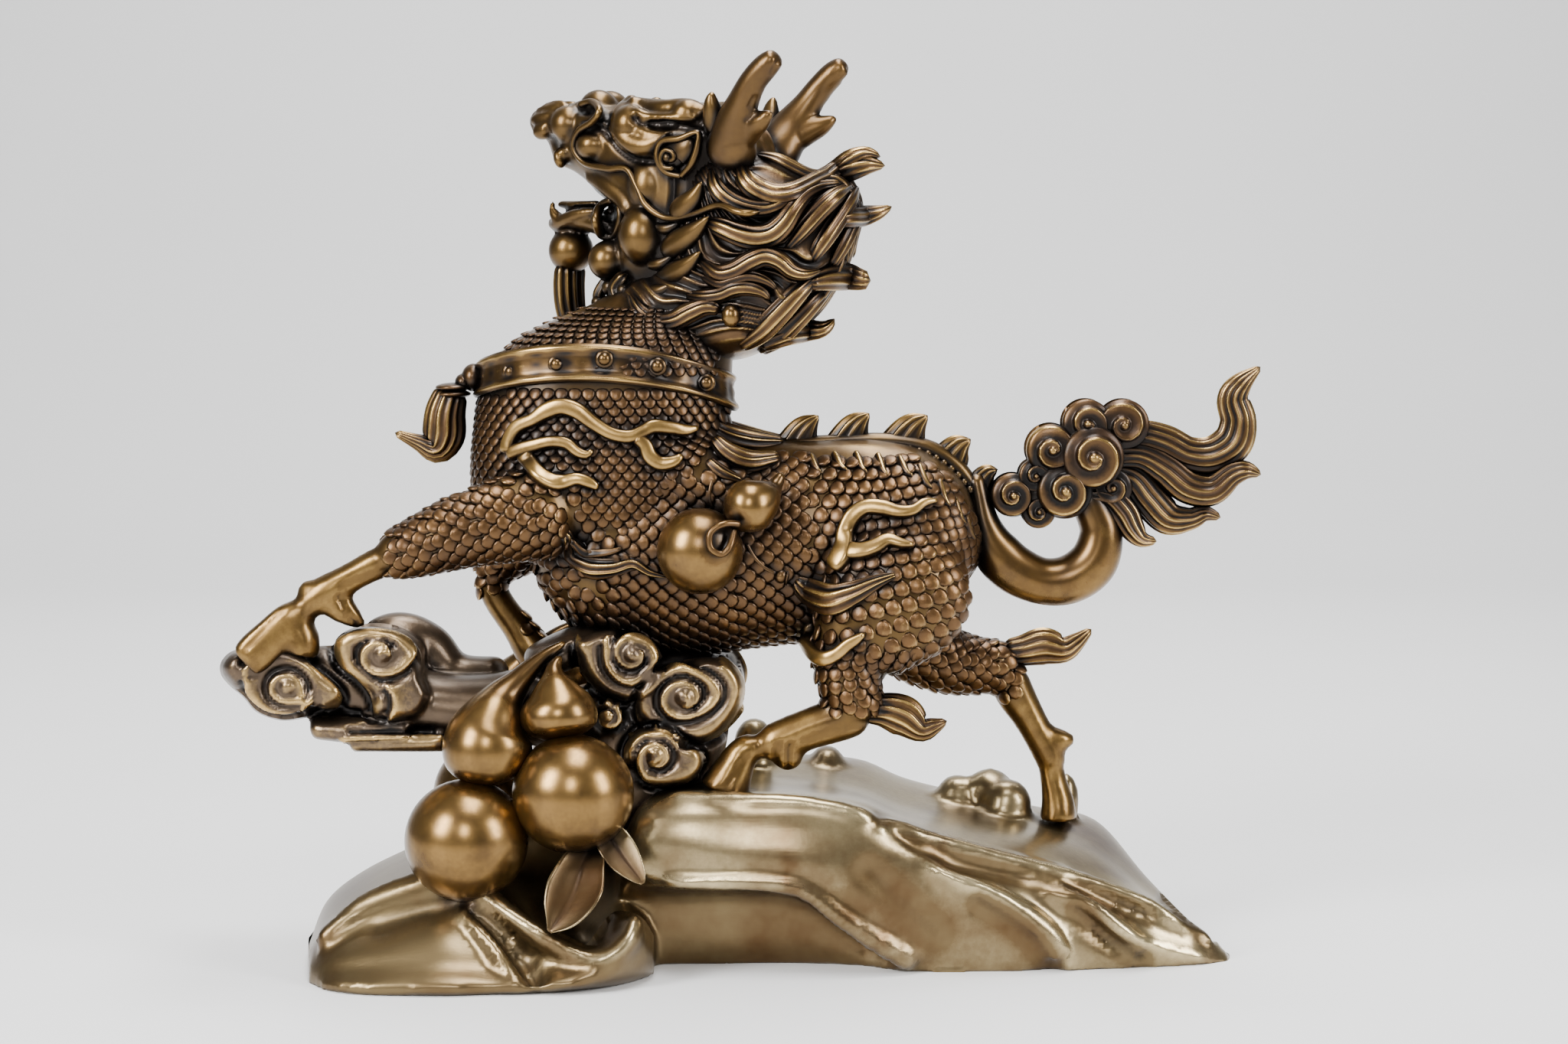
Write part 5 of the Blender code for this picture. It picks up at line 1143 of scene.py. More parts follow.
maneLocks = [  # x, z, lift off the mass, half width: the locks that lie on it, and the tips that leave it
    [(7, 370, -2, 2), (16, 367, 1, 4.2), (24.2, 362.6, 1.5, 4.6), (31.6, 359.3, 3, 4.6), (38, 359.6, 4, 4.6),
     (44.3, 363.2, 7, 5), (50.6, 368.3, 9, 4.6), (58, 371, 8, 3.2), (64.4, 369.4, 6, 1)],
    [(-1, 368, -3, 2), (3, 358.4, 0, 5.2), (10.5, 353, 1, 5.8), (18, 351.4, 1.5, 5.6), (26.3, 353, 2, 5.6),
     (36, 357.6, 3, 5.6), (43.2, 361, 6, 6), (49.6, 364, 9, 6.4), (58, 365.8, 8, 4.8), (66.5, 365.3, 6, 1.1)],
    [(-13.5, 364, -3, 2), (-10.7, 355.2, 0, 4.4), (-4.3, 349.4, 0.5, 4.8), (4, 346.2, 1, 4.8),
     (11.5, 345.7, 1.5, 4.4), (18, 347.8, 1.5, 3.8), (24.2, 352, 1, 3), (30.6, 356.6, -1, 1.4)],
    [(-16, 340, -3, 2), (-9, 337.5, 0, 5), (-1, 334.4, 1, 6), (7, 332.8, 2, 6.4), (14, 334.2, 2.6, 6),
     (19.5, 338.8, 2.8, 5.4), (24.2, 345.5, 2.6, 4.6), (30, 352, 2.5, 3.8), (37, 355.8, 3.5, 3),
     (46, 357.4, 6, 1.6)],
    [(20, 326, -3, 2), (28.4, 336, 0, 4.4), (36, 344.6, 1, 4.8), (43, 351, 2.5, 4.2), (50, 355.6, 3, 2)],
    [(31.6, 320.6, -3, 2), (36.9, 329.7, 0.5, 4.6), (43.2, 339.3, 1.5, 5), (49.6, 348.8, 4, 4),
     (53.4, 355, 5, 1.6)],
    [(41, 319, 0, 3), (45.4, 327.6, 2, 4.6), (49.6, 336, 4, 4.6), (52.6, 343.5, 5, 4), (53.6, 350, 5, 2)],
    [(42, 340, 0, 3), (49, 341.6, 5, 5), (56, 342.2, 8, 5), (63, 343.8, 7, 3.6), (69.7, 346.7, 5, 0.9)],
    [(-19, 322, -3, 2), (-10.7, 316.2, 0.5, 4.6), (-3.3, 317, 1.5, 5), (5.2, 321.8, 2.4, 5),
     (11.5, 323.8, 2.6, 4.8), (18, 321.6, 2.4, 4.4), (23.2, 317.2, 2, 3.8), (29.5, 315.6, 2.4, 2.8),
     (37, 317.3, 4, 1)],
    [(-18, 315, -3, 2), (-9.6, 311.6, 0.4, 3.8), (-2.2, 313.4, 1, 3.8), (4, 314.6, 1.4, 3.6),
     (11.5, 312.6, 1.2, 2.8), (17, 308.4, 0.5, 1)],
    [(-25, 306, -3, 2), (-17, 305.2, 0.4, 3.8), (-9.6, 306.2, 1, 4), (-3, 308.8, 1.6, 4), (3, 309.2, 1.8, 3.8),
     (9.4, 307.6, 1.6, 3), (13.8, 303.8, 1.6, 1)],
    [(-51, 306, -2, 2), (-46.6, 298.4, 1.5, 4.4), (-39, 293.6, 1.8, 5), (-31, 294, 1.8, 5),
     (-23.4, 297.9, 1.8, 5), (-16, 300.6, 1.8, 4.4), (-9, 299.5, 1.2, 3)],
    [(0, 283, -4, 4), (9, 290, -2, 6.4), (17.5, 298.6, -1.4, 6.4), (25.6, 307, -0.6, 5.4), (33, 313.4, -1, 3)],
    [(9, 281.5, -4, 4), (17, 287.6, -1.6, 6), (25.6, 295.8, -0.6, 6), (33.6, 304, 0.4, 5), (40, 309.6, 0, 3)],
    [(30, 311.6, 0, 4), (40, 314, 3, 6.6), (48.5, 314.4, 7, 6.6), (55, 313, 8, 5.2), (60, 312.6, 8, 4)],
    [(9, 283, -2, 4), (20, 288, 3, 6), (29, 289.6, 7, 5.6), (36, 289.8, 8, 4.2), (40.4, 291.6, 7, 2.8),
     (43.4, 295, 6, 0.9)],
]


maneBack = [  # x, z, depth, half thickness, half width: down the back of the mane
    [(4, 372, 2, 2, 4), (18, 368, 3, 3, 7.5), (32, 360.8, 1, 3.4, 8.5), (46, 359.6, -2, 3.4, 8.5),
     (52.6, 350, -3, 3.4, 8), (53, 340, 0, 3.2, 7), (51.5, 330, 4, 2.4, 4.5), (52, 323, 7, 1, 1.2)],
    [(52, 338, -1, 2.6, 5), (50, 330, -2, 3.4, 7), (46.6, 320, 0, 3.4, 8), (42, 311, 3, 3.4, 8),
     (36.5, 302, 2, 3.2, 7.5), (31, 295, -2, 2.4, 5), (28, 288, -5, 1, 1.2)],
]
maneSides = [
    [(16, 367, -13, 2, 4), (30, 360, -14, 3.2, 6.5), (44, 358, -14, 3.4, 7), (50.6, 350, -12, 3.4, 7),
     (51, 339, -12, 3.2, 7), (48.6, 329, -14, 2.6, 5), (49, 321, -17, 1, 1.2)],
    [(49, 334, -12, 2.6, 4.5), (46.5, 325, -12, 3.4, 6.5), (42.6, 315, -14, 3.4, 7), (37, 305.6, -14, 3.2, 7),
     (30, 296, -12, 2.6, 5), (24, 289, -11, 1, 1.2)],
]


def downTheBack(rows):
    return limb(rows, 32, 2.6, strands=6, cut=1.3, blunt=(0.6, 0.55))


def onMane(stations):
    rows = [(x, z, -(maneOut(x, z) + lift), wide) for x, z, lift, wide in stations]
    return lock(rows, manePlan["thick"], manePlan["strands"], manePlan["cut"], 38, 1.9)


def makeMane():
    mass = pillow(maneOutline, (3, 322), maneDepth, manePlan["rounding"], lambda x, z, out: sight(x, z, -out),
                  mirrored, 320, 60, maneStrands)
    addPiece("mane_mass", mass, brassHair)
    nut = egg(-4.5, 296.5, -(maneOut(-4.5, 296.5) + 2), 4.4, 4, 5.4, around=10)
    addPiece("mane_bead", both([nut]), brassSmooth)
    sides = both([*(onMane(rows) for rows in maneLocks), *(downTheBack(rows) for rows in maneSides)])
    addPiece("mane_locks", [*sides, *(downTheBack(rows) for rows in maneBack)], brassHair)


makeMane()
print("mane made")


# Tail

tailPlan = dict(sides=56, step=1.6, voluteTurns=1.8, voluteCut=2.2)


def sawtooth(phase):  # rises gently to a thin crest at 0.86 of each turn, then drops steeply outwards
    f = phase - np.floor(phase)
    return np.where(f < 0.86, (f / 0.86) ** 1.6, ((1 - f) / 0.14) ** 1.2)


def volute(x, z, y, radius, thick, start=0.0, clockwise=True):
    # a lens whose front is a spiral: the height over (r, angle) is a dome plus a saw whose phase is
    # turns * r / radius plus or minus angle / tau, with a bead in the middle
    reach = np.concatenate([np.linspace(0.03, 0.9, 18), [0.95, 0.985, 1.0]])[:, None]
    turn = np.linspace(0, math.tau, 48, endpoint=False)[None]
    sense = 1 if clockwise else -1
    saw = sawtooth(tailPlan["voluteTurns"] * reach + sense * (turn - math.radians(start)) / math.tau)
    bead = 0.16
    fade = np.clip((reach - bead) / 0.08, 0, 1) * np.clip((1.02 - reach) / 0.12, 0, 1)
    dome = thick * np.sqrt(np.clip(1 - reach**2, 0, 1))
    knob = 1.5 * np.sqrt(np.clip(1 - (reach / bead) ** 2, 0, 1)) * (reach < bead)
    high = dome + tailPlan["voluteCut"] * (saw - 0.62) * fade + knob
    relief = np.where(reach < bead, 0.75, 0.06 + 0.94 * saw**1.5) + 0 * turn
    front = np.stack(np.broadcast_arrays(radius * reach * np.cos(turn), -high, radius * reach * np.sin(turn)), -1)
    back = np.stack(np.broadcast_arrays(radius * reach[::-4] * np.cos(turn), 0.4 * dome[::-4],
                                        radius * reach[::-4] * np.sin(turn)), -1)
    rings = np.concatenate([front, back]) + sight(x, z, y)
    values = np.concatenate([relief, 0.3 + 0 * back[..., 0]])
    return closed(rings, rings[0].mean(0), rings[-1].mean(0), values)


def makeTail():
    root = limb([(108, 224, 0, 4.5, 5), (110.5, 212, 0, 5.5, 7), (113, 200, 0, 7.5, 9), (118, 188, 0, 11, 10.5),
                 (127, 179, 0, 11.5, 11), (140, 173.5, 0, 11, 11), (153, 174.5, 0, 11.5, 11),
                 (163.5, 182.5, 0, 11.5, 11), (167, 196, 0, 10, 10), (163, 208, 0, 9, 9), (158, 218, 0, 8, 8)],
                 48, 1.6)
    addPiece("tail_root", root, brassSmooth)
    size = dict(sides=tailPlan["sides"], step=tailPlan["step"])
    locks = [
        lock([(158, 238, 0, 5), (170, 240, 0, 7), (184, 241, 0, 7.6), (196, 238, 0, 8.3), (207, 232.5, 0, 8.3),
              (218, 232, 0, 9), (227.5, 238, 0, 9.5), (230, 248, 0, 8.5), (227.5, 258, 0, 7.5),
              (231, 265, 0, 5.5), (240, 273, 0, 1.2)], 6.5, 12, 1.9, **size),
        lock([(156, 229, -2, 5), (168, 231, -2, 6), (184, 232, -2, 6.4), (196, 226, -2, 7.5), (207, 217.5, -2, 8),
              (218, 216, -2, 7.5), (227, 223, -2, 6), (234, 225, -2, 4.5), (241, 223, -2, 1.2)], 6.5, 12, 1.9,
              **size),
        lock([(152, 222, 0, 5), (165, 223, 0, 6), (180, 222, 0, 7.4), (189, 212, 0, 8.5), (198, 203, 0, 8),
              (208, 202.5, 0, 5.5), (215, 205, 0, 4), (222.5, 203, 0, 1.4)], 6.5, 12, 1.9, **size),
        lock([(156, 213, -3, 4), (169, 213, -3, 6), (177, 206, -3, 7), (181.5, 198, -3, 6), (186, 193, -3, 4),
              (193, 192, -3, 1.4)], 6, 10, 1.7, **size),
    ]
    addPiece("tail_locks", locks, brassHair)
    bulk = [
        egg(152, 226, 0, 17, 11, 13, around=36), egg(162, 238, 0, 16, 10, 11, around=36),
        egg(127, 213, 0, 7.5, 8, 8.5, around=28), egg(138, 214, 0, 10, 8, 9, around=28),
    ]
    curls = [
        volute(126, 213.5, -5, 10.2, 6, 200), volute(150, 215.5, -8, 13, 7, 150),
        volute(163, 231, -10, 14.5, 7, 190), volute(177, 246, -5, 12, 6.5, 220, False),
        volute(160, 246.5, -5.5, 11.5, 6, 200), volute(144, 234.5, -7, 12, 6.5, 160, False),
        volute(136.5, 222.5, -5.5, 8, 5, 160), volute(172, 217, -4.5, 9.5, 5.5, 60),
        volute(138, 206, -5, 8, 5, 260),
    ]
    addPiece("tail_curls", [*bulk, *both(curls)], brassHair)


makeTail()
print("tail made")


# Rock

rockPlan = dict(cell=2.6, smoothing=3)


def sections(stations, around=64, step=2.2):
    # a closed mass from sections along x, each of the same number of (y, z)
    rings = []
    for x, ring in stations:
        looped = np.array([sight(x, z, y) for y, z in [*ring[-2:], *ring, *ring[:2]]])
        count = len(ring)
        fine = spline(looped, 16 * (count + 3) + 1)[32:32 + 16 * count]
        rings.append(fine[np.linspace(0, len(fine), around, endpoint=False).round().astype(int)])
    flat = np.array(rings).reshape(len(rings), -1)
    length = abs(stations[-1][0] - stations[0][0])
    rings = spline(flat, max(8, int(length / step))).reshape(-1, around, 3)
    return closed(rings, rings[0].mean(0), rings[-1].mean(0), 0.55)


slab = [
    (-57, [(50, -12), (50, 36), (10, 48), (-40, 48), (-52, 42), (-50, 33), (-36, 20), (-26, -12)]),
    (-47, [(72, -12), (70, 62), (10, 70), (-44, 66), (-58, 52), (-55, 33), (-38, 24), (-25, -12)]),
    (-30, [(80, -12), (77, 80), (10, 80), (-46, 72), (-61, 54), (-58, 32), (-38, 25), (-23, -12)]),
    (0, [(84, -12), (81, 86), (10, 80), (-46, 72), (-61, 52), (-60, 32), (-38, 25), (-22, -12)]),
    (30, [(86, -12), (83, 87), (10, 78), (-46, 71), (-62, 50), (-61, 29), (-38, 22), (-22, -12)]),
    (56, [(88, -12), (85, 85), (10, 74), (-46, 67), (-61, 40), (-58, 12), (-36, 6), (-26, -12)]),
    (76, [(89, -12), (86, 77), (10, 66), (-44, 57), (-57, 30), (-54, 2), (-44, -6), (-36, -12)]),
    (104, [(89, -12), (86, 70), (10, 61), (-40, 46), (-52, 22), (-50, -2), (-46, -10), (-38, -12)]),
    (140, [(88, -12), (84, 63), (10, 56), (-36, 38), (-47, 16), (-48, -4), (-44, -11), (-34, -12)]),
    (166, [(82, -12), (78, 58), (10, 46), (-32, 27), (-43, 12), (-45, -4), (-42, -11), (-30, -12)]),
    (190, [(50, -12), (44, 32), (2, 26), (-30, 19), (-39, 8), (-41, -4), (-38, -11), (-26, -12)]),
    (214, [(12, -12), (8, 8), (-8, 9), (-24, 7), (-31, 2), (-34, -5), (-32, -11), (-22, -12)]),
    (229, [(-10, -12), (-10, -4), (-14, -3), (-20, -3), (-24, -5), (-26, -8), (-24, -11), (-18, -12)]),
]
block = [
    (-203, [(20, -20), (10, 0), (-40, 0), (-60, -5), (-70, -13), (-60, -22)]),
    (-194, [(60, -20), (50, 22), (-46, 10), (-66, 2), (-80, -10), (-76, -22)]),
    (-176, [(72, -20), (64, 36), (-48, 22), (-68, 10), (-86, -8), (-84, -24)]),
    (-150, [(78, -20), (72, 48), (-50, 34), (-68, 18), (-88, -6), (-86, -24)]),
    (-134, [(80, -20), (76, 56), (-50, 37), (-68, 20), (-88, -6), (-86, -24)]),
    (-116, [(80, -20), (78, 64), (-48, 30), (-68, 10), (-86, -8), (-84, -23)]),
    (-96, [(80, -20), (78, 72), (-44, 14), (-70, 0), (-87, -10), (-84, -22)]),
    (-76, [(78, -20), (76, 76), (-40, 8), (-70, -1), (-87, -8), (-82, -20)]),
    (-60, [(60, -18), (58, 72), (-44, 18), (-68, 18), (-85, 4), (-76, -18)]),
    (-47, [(0, -14), (0, 20), (-48, 14), (-64, 14), (-77, 3), (-66, -14)]),
    (-41, [(-10, -12), (-10, 0), (-46, 6), (-58, 6), (-66, 0), (-58, -11)]),
]
folds = [
    [(-198, 0, -66, 5, 5), (-176, 20, -58, 6, 6), (-150, 31, -56, 6, 7), (-135, 34, -56, 6, 6),
     (-122, 26, -64, 6, 6), (-106, 12, -74, 6, 5), (-86, 2, -82, 6, 5), (-70, -5, -85, 6, 5), (-56, 2, -82, 6, 6),
     (-48, 14, -72, 5, 6)],
    [(-130, 22, -70, 4, 4), (-119, 6, -80, 5, 4), (-109, -8, -87, 6, 4), (-103, -19, -87, 7, 4)],
    [(-34, 70, -46, 4, 4), (0, 69, -50, 4.5, 5), (30, 68, -50, 4.5, 5), (54, 63, -50, 4.5, 5),
     (68, 58, -48, 3, 4)],
    [(56, 61, -46, 4, 4), (74, 57, -44, 4, 5), (92, 50, -40, 4.5, 5), (120, 42, -36, 5, 6), (160, 31, -32, 5, 6),
     (195, 17, -30, 5, 6), (220, 2, -24, 4, 5)],
    [(78, 50, -48, 3, 3), (100, 33, -52, 5, 4), (118, 22, -52, 5.5, 5), (138, 8, -50, 6, 5),
     (148, -7, -48, 6, 5)],
    [(132, 34, -40, 4, 4), (156, 23, -45, 5, 4), (176, 10, -44, 5, 4), (188, -4, -42, 5, 4)],
    [(-36, 33, -58, 3.5, 4), (0, 32, -60, 4, 4), (28, 28, -61, 4, 4), (46, 16, -60, 5, 4), (64, 4, -56, 6, 4),
     (82, -7, -50, 6, 4)],
]


def makeRock():
    core = limb([(-120, 6, 8, 24, 56), (-60, 10, 18, 24, 56), (10, 10, 24, 26, 56), (60, 8, 24, 24, 56)], 32, 4,
                blunt=(0.3, 0.3))
    farStone = [egg(101, 73, 48, 10, 12, 10), egg(116, 74, 46, 12, 13, 12), egg(124, 69, 36, 12, 12, 12),
                egg(152, 70, 46, 6, 8, 14), egg(40, 86, 54, 9, 14, 11), egg(6, 96, 42, 10, 12, 14)]
    rock = fused([core, sections(slab), sections(block), *(limb(f, 20) for f in folds), *farStone],
                 rockPlan["cell"], rockPlan["smoothing"])
    rock = creased(rock, [
        ([(-127, 19), (-118, 13), (-108, 2), (-97, -14)], -5.5, 4.5, False),
        ([(-136, 36), (-125, 28), (-115, 20), (-100, 11), (-85, 3), (-75, -3), (-67, -5), (-59, -2), (-53, 5),
          (-51, 12)], 3.0, 3.2, True),
        ([(-131, 17), (-122, 9), (-115, 2), (-110, -8), (-105, -14)], 2.2, 2.8, True),
        ([(-92, 18), (-80, 8), (-68, 6), (-60, 12)], -3.5, 6.0, False),
        ([(-196, 8), (-170, 22), (-150, 31), (-136, 36)], 1.6, 3.0, True),
        ([(-170, 10), (-150, 18), (-138, 20)], -1.6, 7.0, False),
        ([(-50, 52), (-46, 64), (-38, 72), (-20, 73.5), (10, 72), (30, 70), (50, 66), (62, 60), (66, 57)], 1.8,
         2.4, True),
        ([(64, 60), (80, 49), (95, 42), (115, 38), (140, 33), (165, 27), (190, 17)], -3.0, 4.5, False),
        ([(66, 57), (80, 46), (95, 36), (115, 28), (132, 20), (144, 11), (151, 1), (154, -8)], 2.6, 3.0, True),
        ([(70, 57), (92, 52), (120, 44), (160, 33), (195, 20), (222, 2)], 1.8, 2.6, True),
        ([(150, 32), (165, 22), (178, 9), (198, 0), (215, -4)], 2.2, 2.8, True),
        ([(112, 22), (128, 12), (140, 0), (145, -8)], -3.0, 5.0, False),
        ([(158, 18), (172, 4), (188, -5)], -3.0, 4.5, False),
        ([(198, 24), (208, 14), (218, 3)], -2.2, 3.0, False),
        ([(-50, 46), (-44, 36), (-30, 31.5), (0, 31), (20, 30), (31, 26), (45, 15), (60, 5), (78, -5)], 2.0, 2.6,
         True),
        ([(60, 36), (75, 22), (90, 8)], -2.2, 8.0, False),
    ])
    points = rock["points"]
    points[:, 2] = np.maximum(points[:, 2], 0.0)
    points[:, 1] = np.minimum(points[:, 1], 98.5)
    # the stone at the head end keeps a browner patina, and the recessed face under the slab's lip is made darker
    x, z = seenFrom(points).T
    headEnd = np.clip((-42 - x) / 8, 0, 1)
    hollow = np.clip((31 - z) / 10, 0, 1) * np.clip((62 - x) / 14, 0, 1) * (1 - headEnd)
    rock["relief"] = np.clip(rock["relief"] + 0.04 - 0.27 * headEnd - 0.22 * hollow, 0.05, 1)
    return addPiece("rock", rock, brassStone)


makeRock()


# Clouds

cloudPlan = dict(cell=1.38, smoothing=2, crest=2.0, groove=2.4)


def coil(x, z, radius, turns=1.5, start=90.0, clockwise=False):  # a line that winds in
    share = np.linspace(0, 1, 16)
    angle = math.radians(start) + (-1 if clockwise else 1) * math.tau * turns * share
    reach = radius * (1 - 0.78 * share)
    return [*zip((x + reach * np.cos(angle)).tolist(), (z + reach * np.sin(angle)).tolist())]


def scrolled(shell, lines, plane=None):
    # carves scroll lines: a thin crest on the line, a steep drop to a groove on the outer side and a gentle slope
    # on the inner side. Each line is (stations, outer side: 1 left of travel, -1 right of it)
    at, facing, normal = facingCamera(shell, plane)
    push = np.zeros(len(at))
    for stations, outer in lines:
        fine = spline(stations, 16 * len(stations))
        along = unit(np.gradient(fine, axis=0))
        box = (facing > 0.1) & (at > fine.min(0) - 9).all(1) & (at < fine.max(0) + 9).all(1)
        gaps = at[box, None] - fine[None]
        squared = (gaps**2).sum(-1)
        nearest = squared.argmin(1)
        rows = np.arange(len(nearest))
        gap = np.sqrt(squared[rows, nearest])
        offset, way = gaps[rows, nearest], along[nearest]
        left = way[:, 0] * offset[:, 1] - way[:, 1] * offset[:, 0]
        outside = left * outer > 0
        ends = (nearest > 2) & (nearest < len(fine) - 3)
        rise = np.where(outside, cloudPlan["crest"] * np.exp(-((gap / 1.2) ** 2))
                        - cloudPlan["groove"] * np.exp(-(((gap - 3.0) / 1.6) ** 2)),
                        cloudPlan["crest"] * np.exp(-gap / 3.2))
        push[box] += np.where(ends | (gap < 2.0), rise, 0)
    relief = np.clip(shell["relief"] + np.where(push > 0, 0.2 * push, 0.22 * push), 0, 1)
    return dict(shell, points=shell["points"] + push[:, None] * normal, relief=relief)


def plate(outline, centre, out, rounding=5.0):  # a lobed slab, `out` mm to either side of the middle plane
    return pillow(outline, centre, lambda x, z: out + 0 * x, rounding, lambda x, z, far: sight(x, z, -far),
                  mirrored, 120, 20)


def makeClouds():
    bank = [
        limb([(-66, 50, 0, 34, 40), (-58, 80, 0, 40, 37), (-46, 104, 0, 40, 34), (-42, 124, 0, 36, 32),
              (-46, 142, 0, 30, 28)], 40, blunt=(0.3, 0.5)),
        limb([(-100, 132, -20, 9, 20), (-80, 142, -16, 9, 22), (-64, 146, -10, 8, 22)]),
        plate([(-77, 147), (-76, 136), (-71, 127), (-62, 119.5), (-50, 116.5), (-40, 119), (-35, 128), (-36, 139),
               (-43, 148), (-60, 152)], (-54, 134), 42.5),
        plate([(-10, 138), (-2, 133), (2, 124), (0, 115), (-5, 107), (-12, 100), (-21, 97), (-31, 98), (-41, 102),
               (-49, 110), (-49.5, 119), (-44, 128), (-36, 134), (-24, 138)], (-25, 118), 39.5),
        plate([(-55, 88), (-54.5, 97), (-47, 104), (-36, 105), (-27, 100), (-19, 95), (-17, 87), (-23, 79),
               (-36, 76), (-49, 79)], (-37, 91), 44),
        plate([(-72, 109), (-67, 118), (-58, 119), (-52, 111), (-56, 101), (-66, 100)], (-62, 110), 40, 4.0),
    ]
    arm = [
        limb([(-86, 116, -14, 20, 26), (-116, 114, -16, 16, 24), (-146, 116, -18, 15, 20),
              (-172, 124, -20, 18, 17), (-196, 127, -22, 16, 16), (-216, 126, -24, 14, 15),
              (-232, 130, -24, 9, 11)], 32, blunt=(0.3, 0.6)),
        limb([(-176, 142, -8, 10, 12), (-160, 146, 0, 13, 14), (-146, 142, 4, 12, 14), (-132, 131, 4, 9, 14),
              (-108, 129, 2, 9, 16)]),
        limb([(-201, 105, -26, 5, 12), (-180, 104, -26, 6, 15), (-150, 104, -26, 6, 16)]),
        limb([(-182, 98, -28, 4, 12), (-160, 98.5, -28, 4.5, 14), (-136, 99, -28, 5, 14)], blunt=(0.5, 0.3)),
    ]
    slabs = [  # plates of the arm, which runs near of the middle plane
        ([(-236, 141), (-242, 136), (-242.5, 130), (-238, 124), (-232, 119), (-226, 112), (-215, 108),
          (-204, 109), (-195, 112), (-186.5, 116), (-185.5, 123), (-193, 130), (-199, 136), (-207, 141),
          (-215, 143), (-224, 140)], (-212, 126), 19.0),
        ([(-189, 140), (-185, 131), (-178, 126), (-172, 120), (-171, 112), (-165, 107), (-150, 109), (-144, 119),
          (-148, 130), (-149, 141), (-157, 149), (-168, 152), (-180, 151.5), (-188, 147)], (-166, 133), 19.0),
    ]
    for outline, centre, out in slabs:
        arm.append(pillow(outline, centre, lambda x, z, out=out: out + 0 * x, 6.0,
                          lambda x, z, far: sight(x, z, -25 - far),
                          lambda shell: dict(shell, points=shell["points"] * [1, -1, 1] - [0, 50, 0]), 120, 20))
    beads = [egg(-211, 124, -44, 3.4), egg(-167, 138.6, -44, 3.4), egg(-50.5, 139.5, -43, 3.4),
             egg(-26.5, 119, -40, 3.6), egg(-40, 91.6, -44.6, 3.2), egg(-62, 109.6, -40.4, 2.4)]
    rear = [mirrored(s) for s in beads[2:]]
    bankLines = [
        ([(-63, 146), (-62.6, 135), (-57.4, 127.6), (-50, 125.4), (-43, 129.4), (-40, 137), (-42, 143),
          (-47, 147), (-54, 147), (-58, 142.5), (-57, 136.5), (-52.6, 133.4), (-47.4, 135), (-46, 139.5)], -1),
        ([(-76, 146), (-74.6, 136), (-70, 128), (-61.6, 121), (-50, 118)], -1),
        ([(-45.5, 104.6), (-48, 112), (-46.4, 120), (-41, 127.4), (-35, 132.2), (-28, 133.5), (-20, 131),
          (-13, 126), (-10.5, 121), (-13, 115.6), (-18.6, 111.6), (-26, 109.4), (-32.4, 110.6), (-36.4, 115),
          (-36, 120.6), (-31.6, 125), (-26, 126), (-21, 122.8), (-20.6, 117.6), (-25, 114.6)], 1),
        ([(-9, 136.6), (-3, 131.6), (0.4, 123.6), (-1.6, 115.4), (-6.4, 108), (-13, 101.8), (-21, 98.8),
          (-30, 99.8)], 1),
        ([(-53, 89), (-52.4, 96), (-46.6, 102), (-36.4, 103), (-29, 98.4), (-22, 94), (-19.6, 88), (-24.6, 81.4),
          (-35, 78.6), (-44, 81), (-48, 87), (-46.6, 93.4), (-41, 97), (-35.8, 94.8), (-34.4, 90), (-38, 86.6),
          (-42, 88)], 1),
        (coil(-62, 109.5, 6.4, 1.2, 90, clockwise=True), 1),
    ]
    armLines = [
        ([(-204, 120), (-205.5, 126), (-210, 129.4), (-215.5, 128.6), (-219, 124.6), (-217.6, 119.6),
          (-212.4, 117), (-205, 117)], -1),
        ([(-200, 117), (-206, 113.4), (-214, 112.4), (-222.6, 115), (-229, 121.4), (-231, 128)], 1),
        ([(-232, 131), (-226, 136.4), (-215, 139.8), (-206.6, 138), (-200.6, 132.6), (-195, 128), (-190, 123.4),
          (-187.4, 119), (-188.6, 115.6), (-194, 112.8)], 1),
        ([(-164, 140), (-166, 143.6), (-171, 144.4), (-175.6, 141), (-176, 135.4), (-172, 131), (-165.4, 129.6),
          (-157.6, 132.4), (-152.6, 138.6), (-154, 144), (-160, 148), (-168, 149.6), (-178, 149), (-186, 145.6),
          (-187.4, 140), (-184.4, 134), (-178, 129), (-173, 123), (-170, 116), (-170, 111)], -1),
        ([(-165.6, 125), (-161.6, 119.6), (-161.6, 113.6), (-164, 109)], -1),
        ([(-203, 109), (-190, 109.5), (-176, 108)], 1),
        ([(-185, 100), (-165, 100.5), (-140, 100)], 1),
    ]
    cloud = fused([*bank, *arm, *beads, *rear], cloudPlan["cell"], cloudPlan["smoothing"])
    cloud = scrolled(cloud, bankLines + armLines)
    cloud = scrolled(cloud, bankLines, "body")
    addPiece("clouds", cloud, brassCloud)


makeClouds()


# Gourds and leaves on the rock

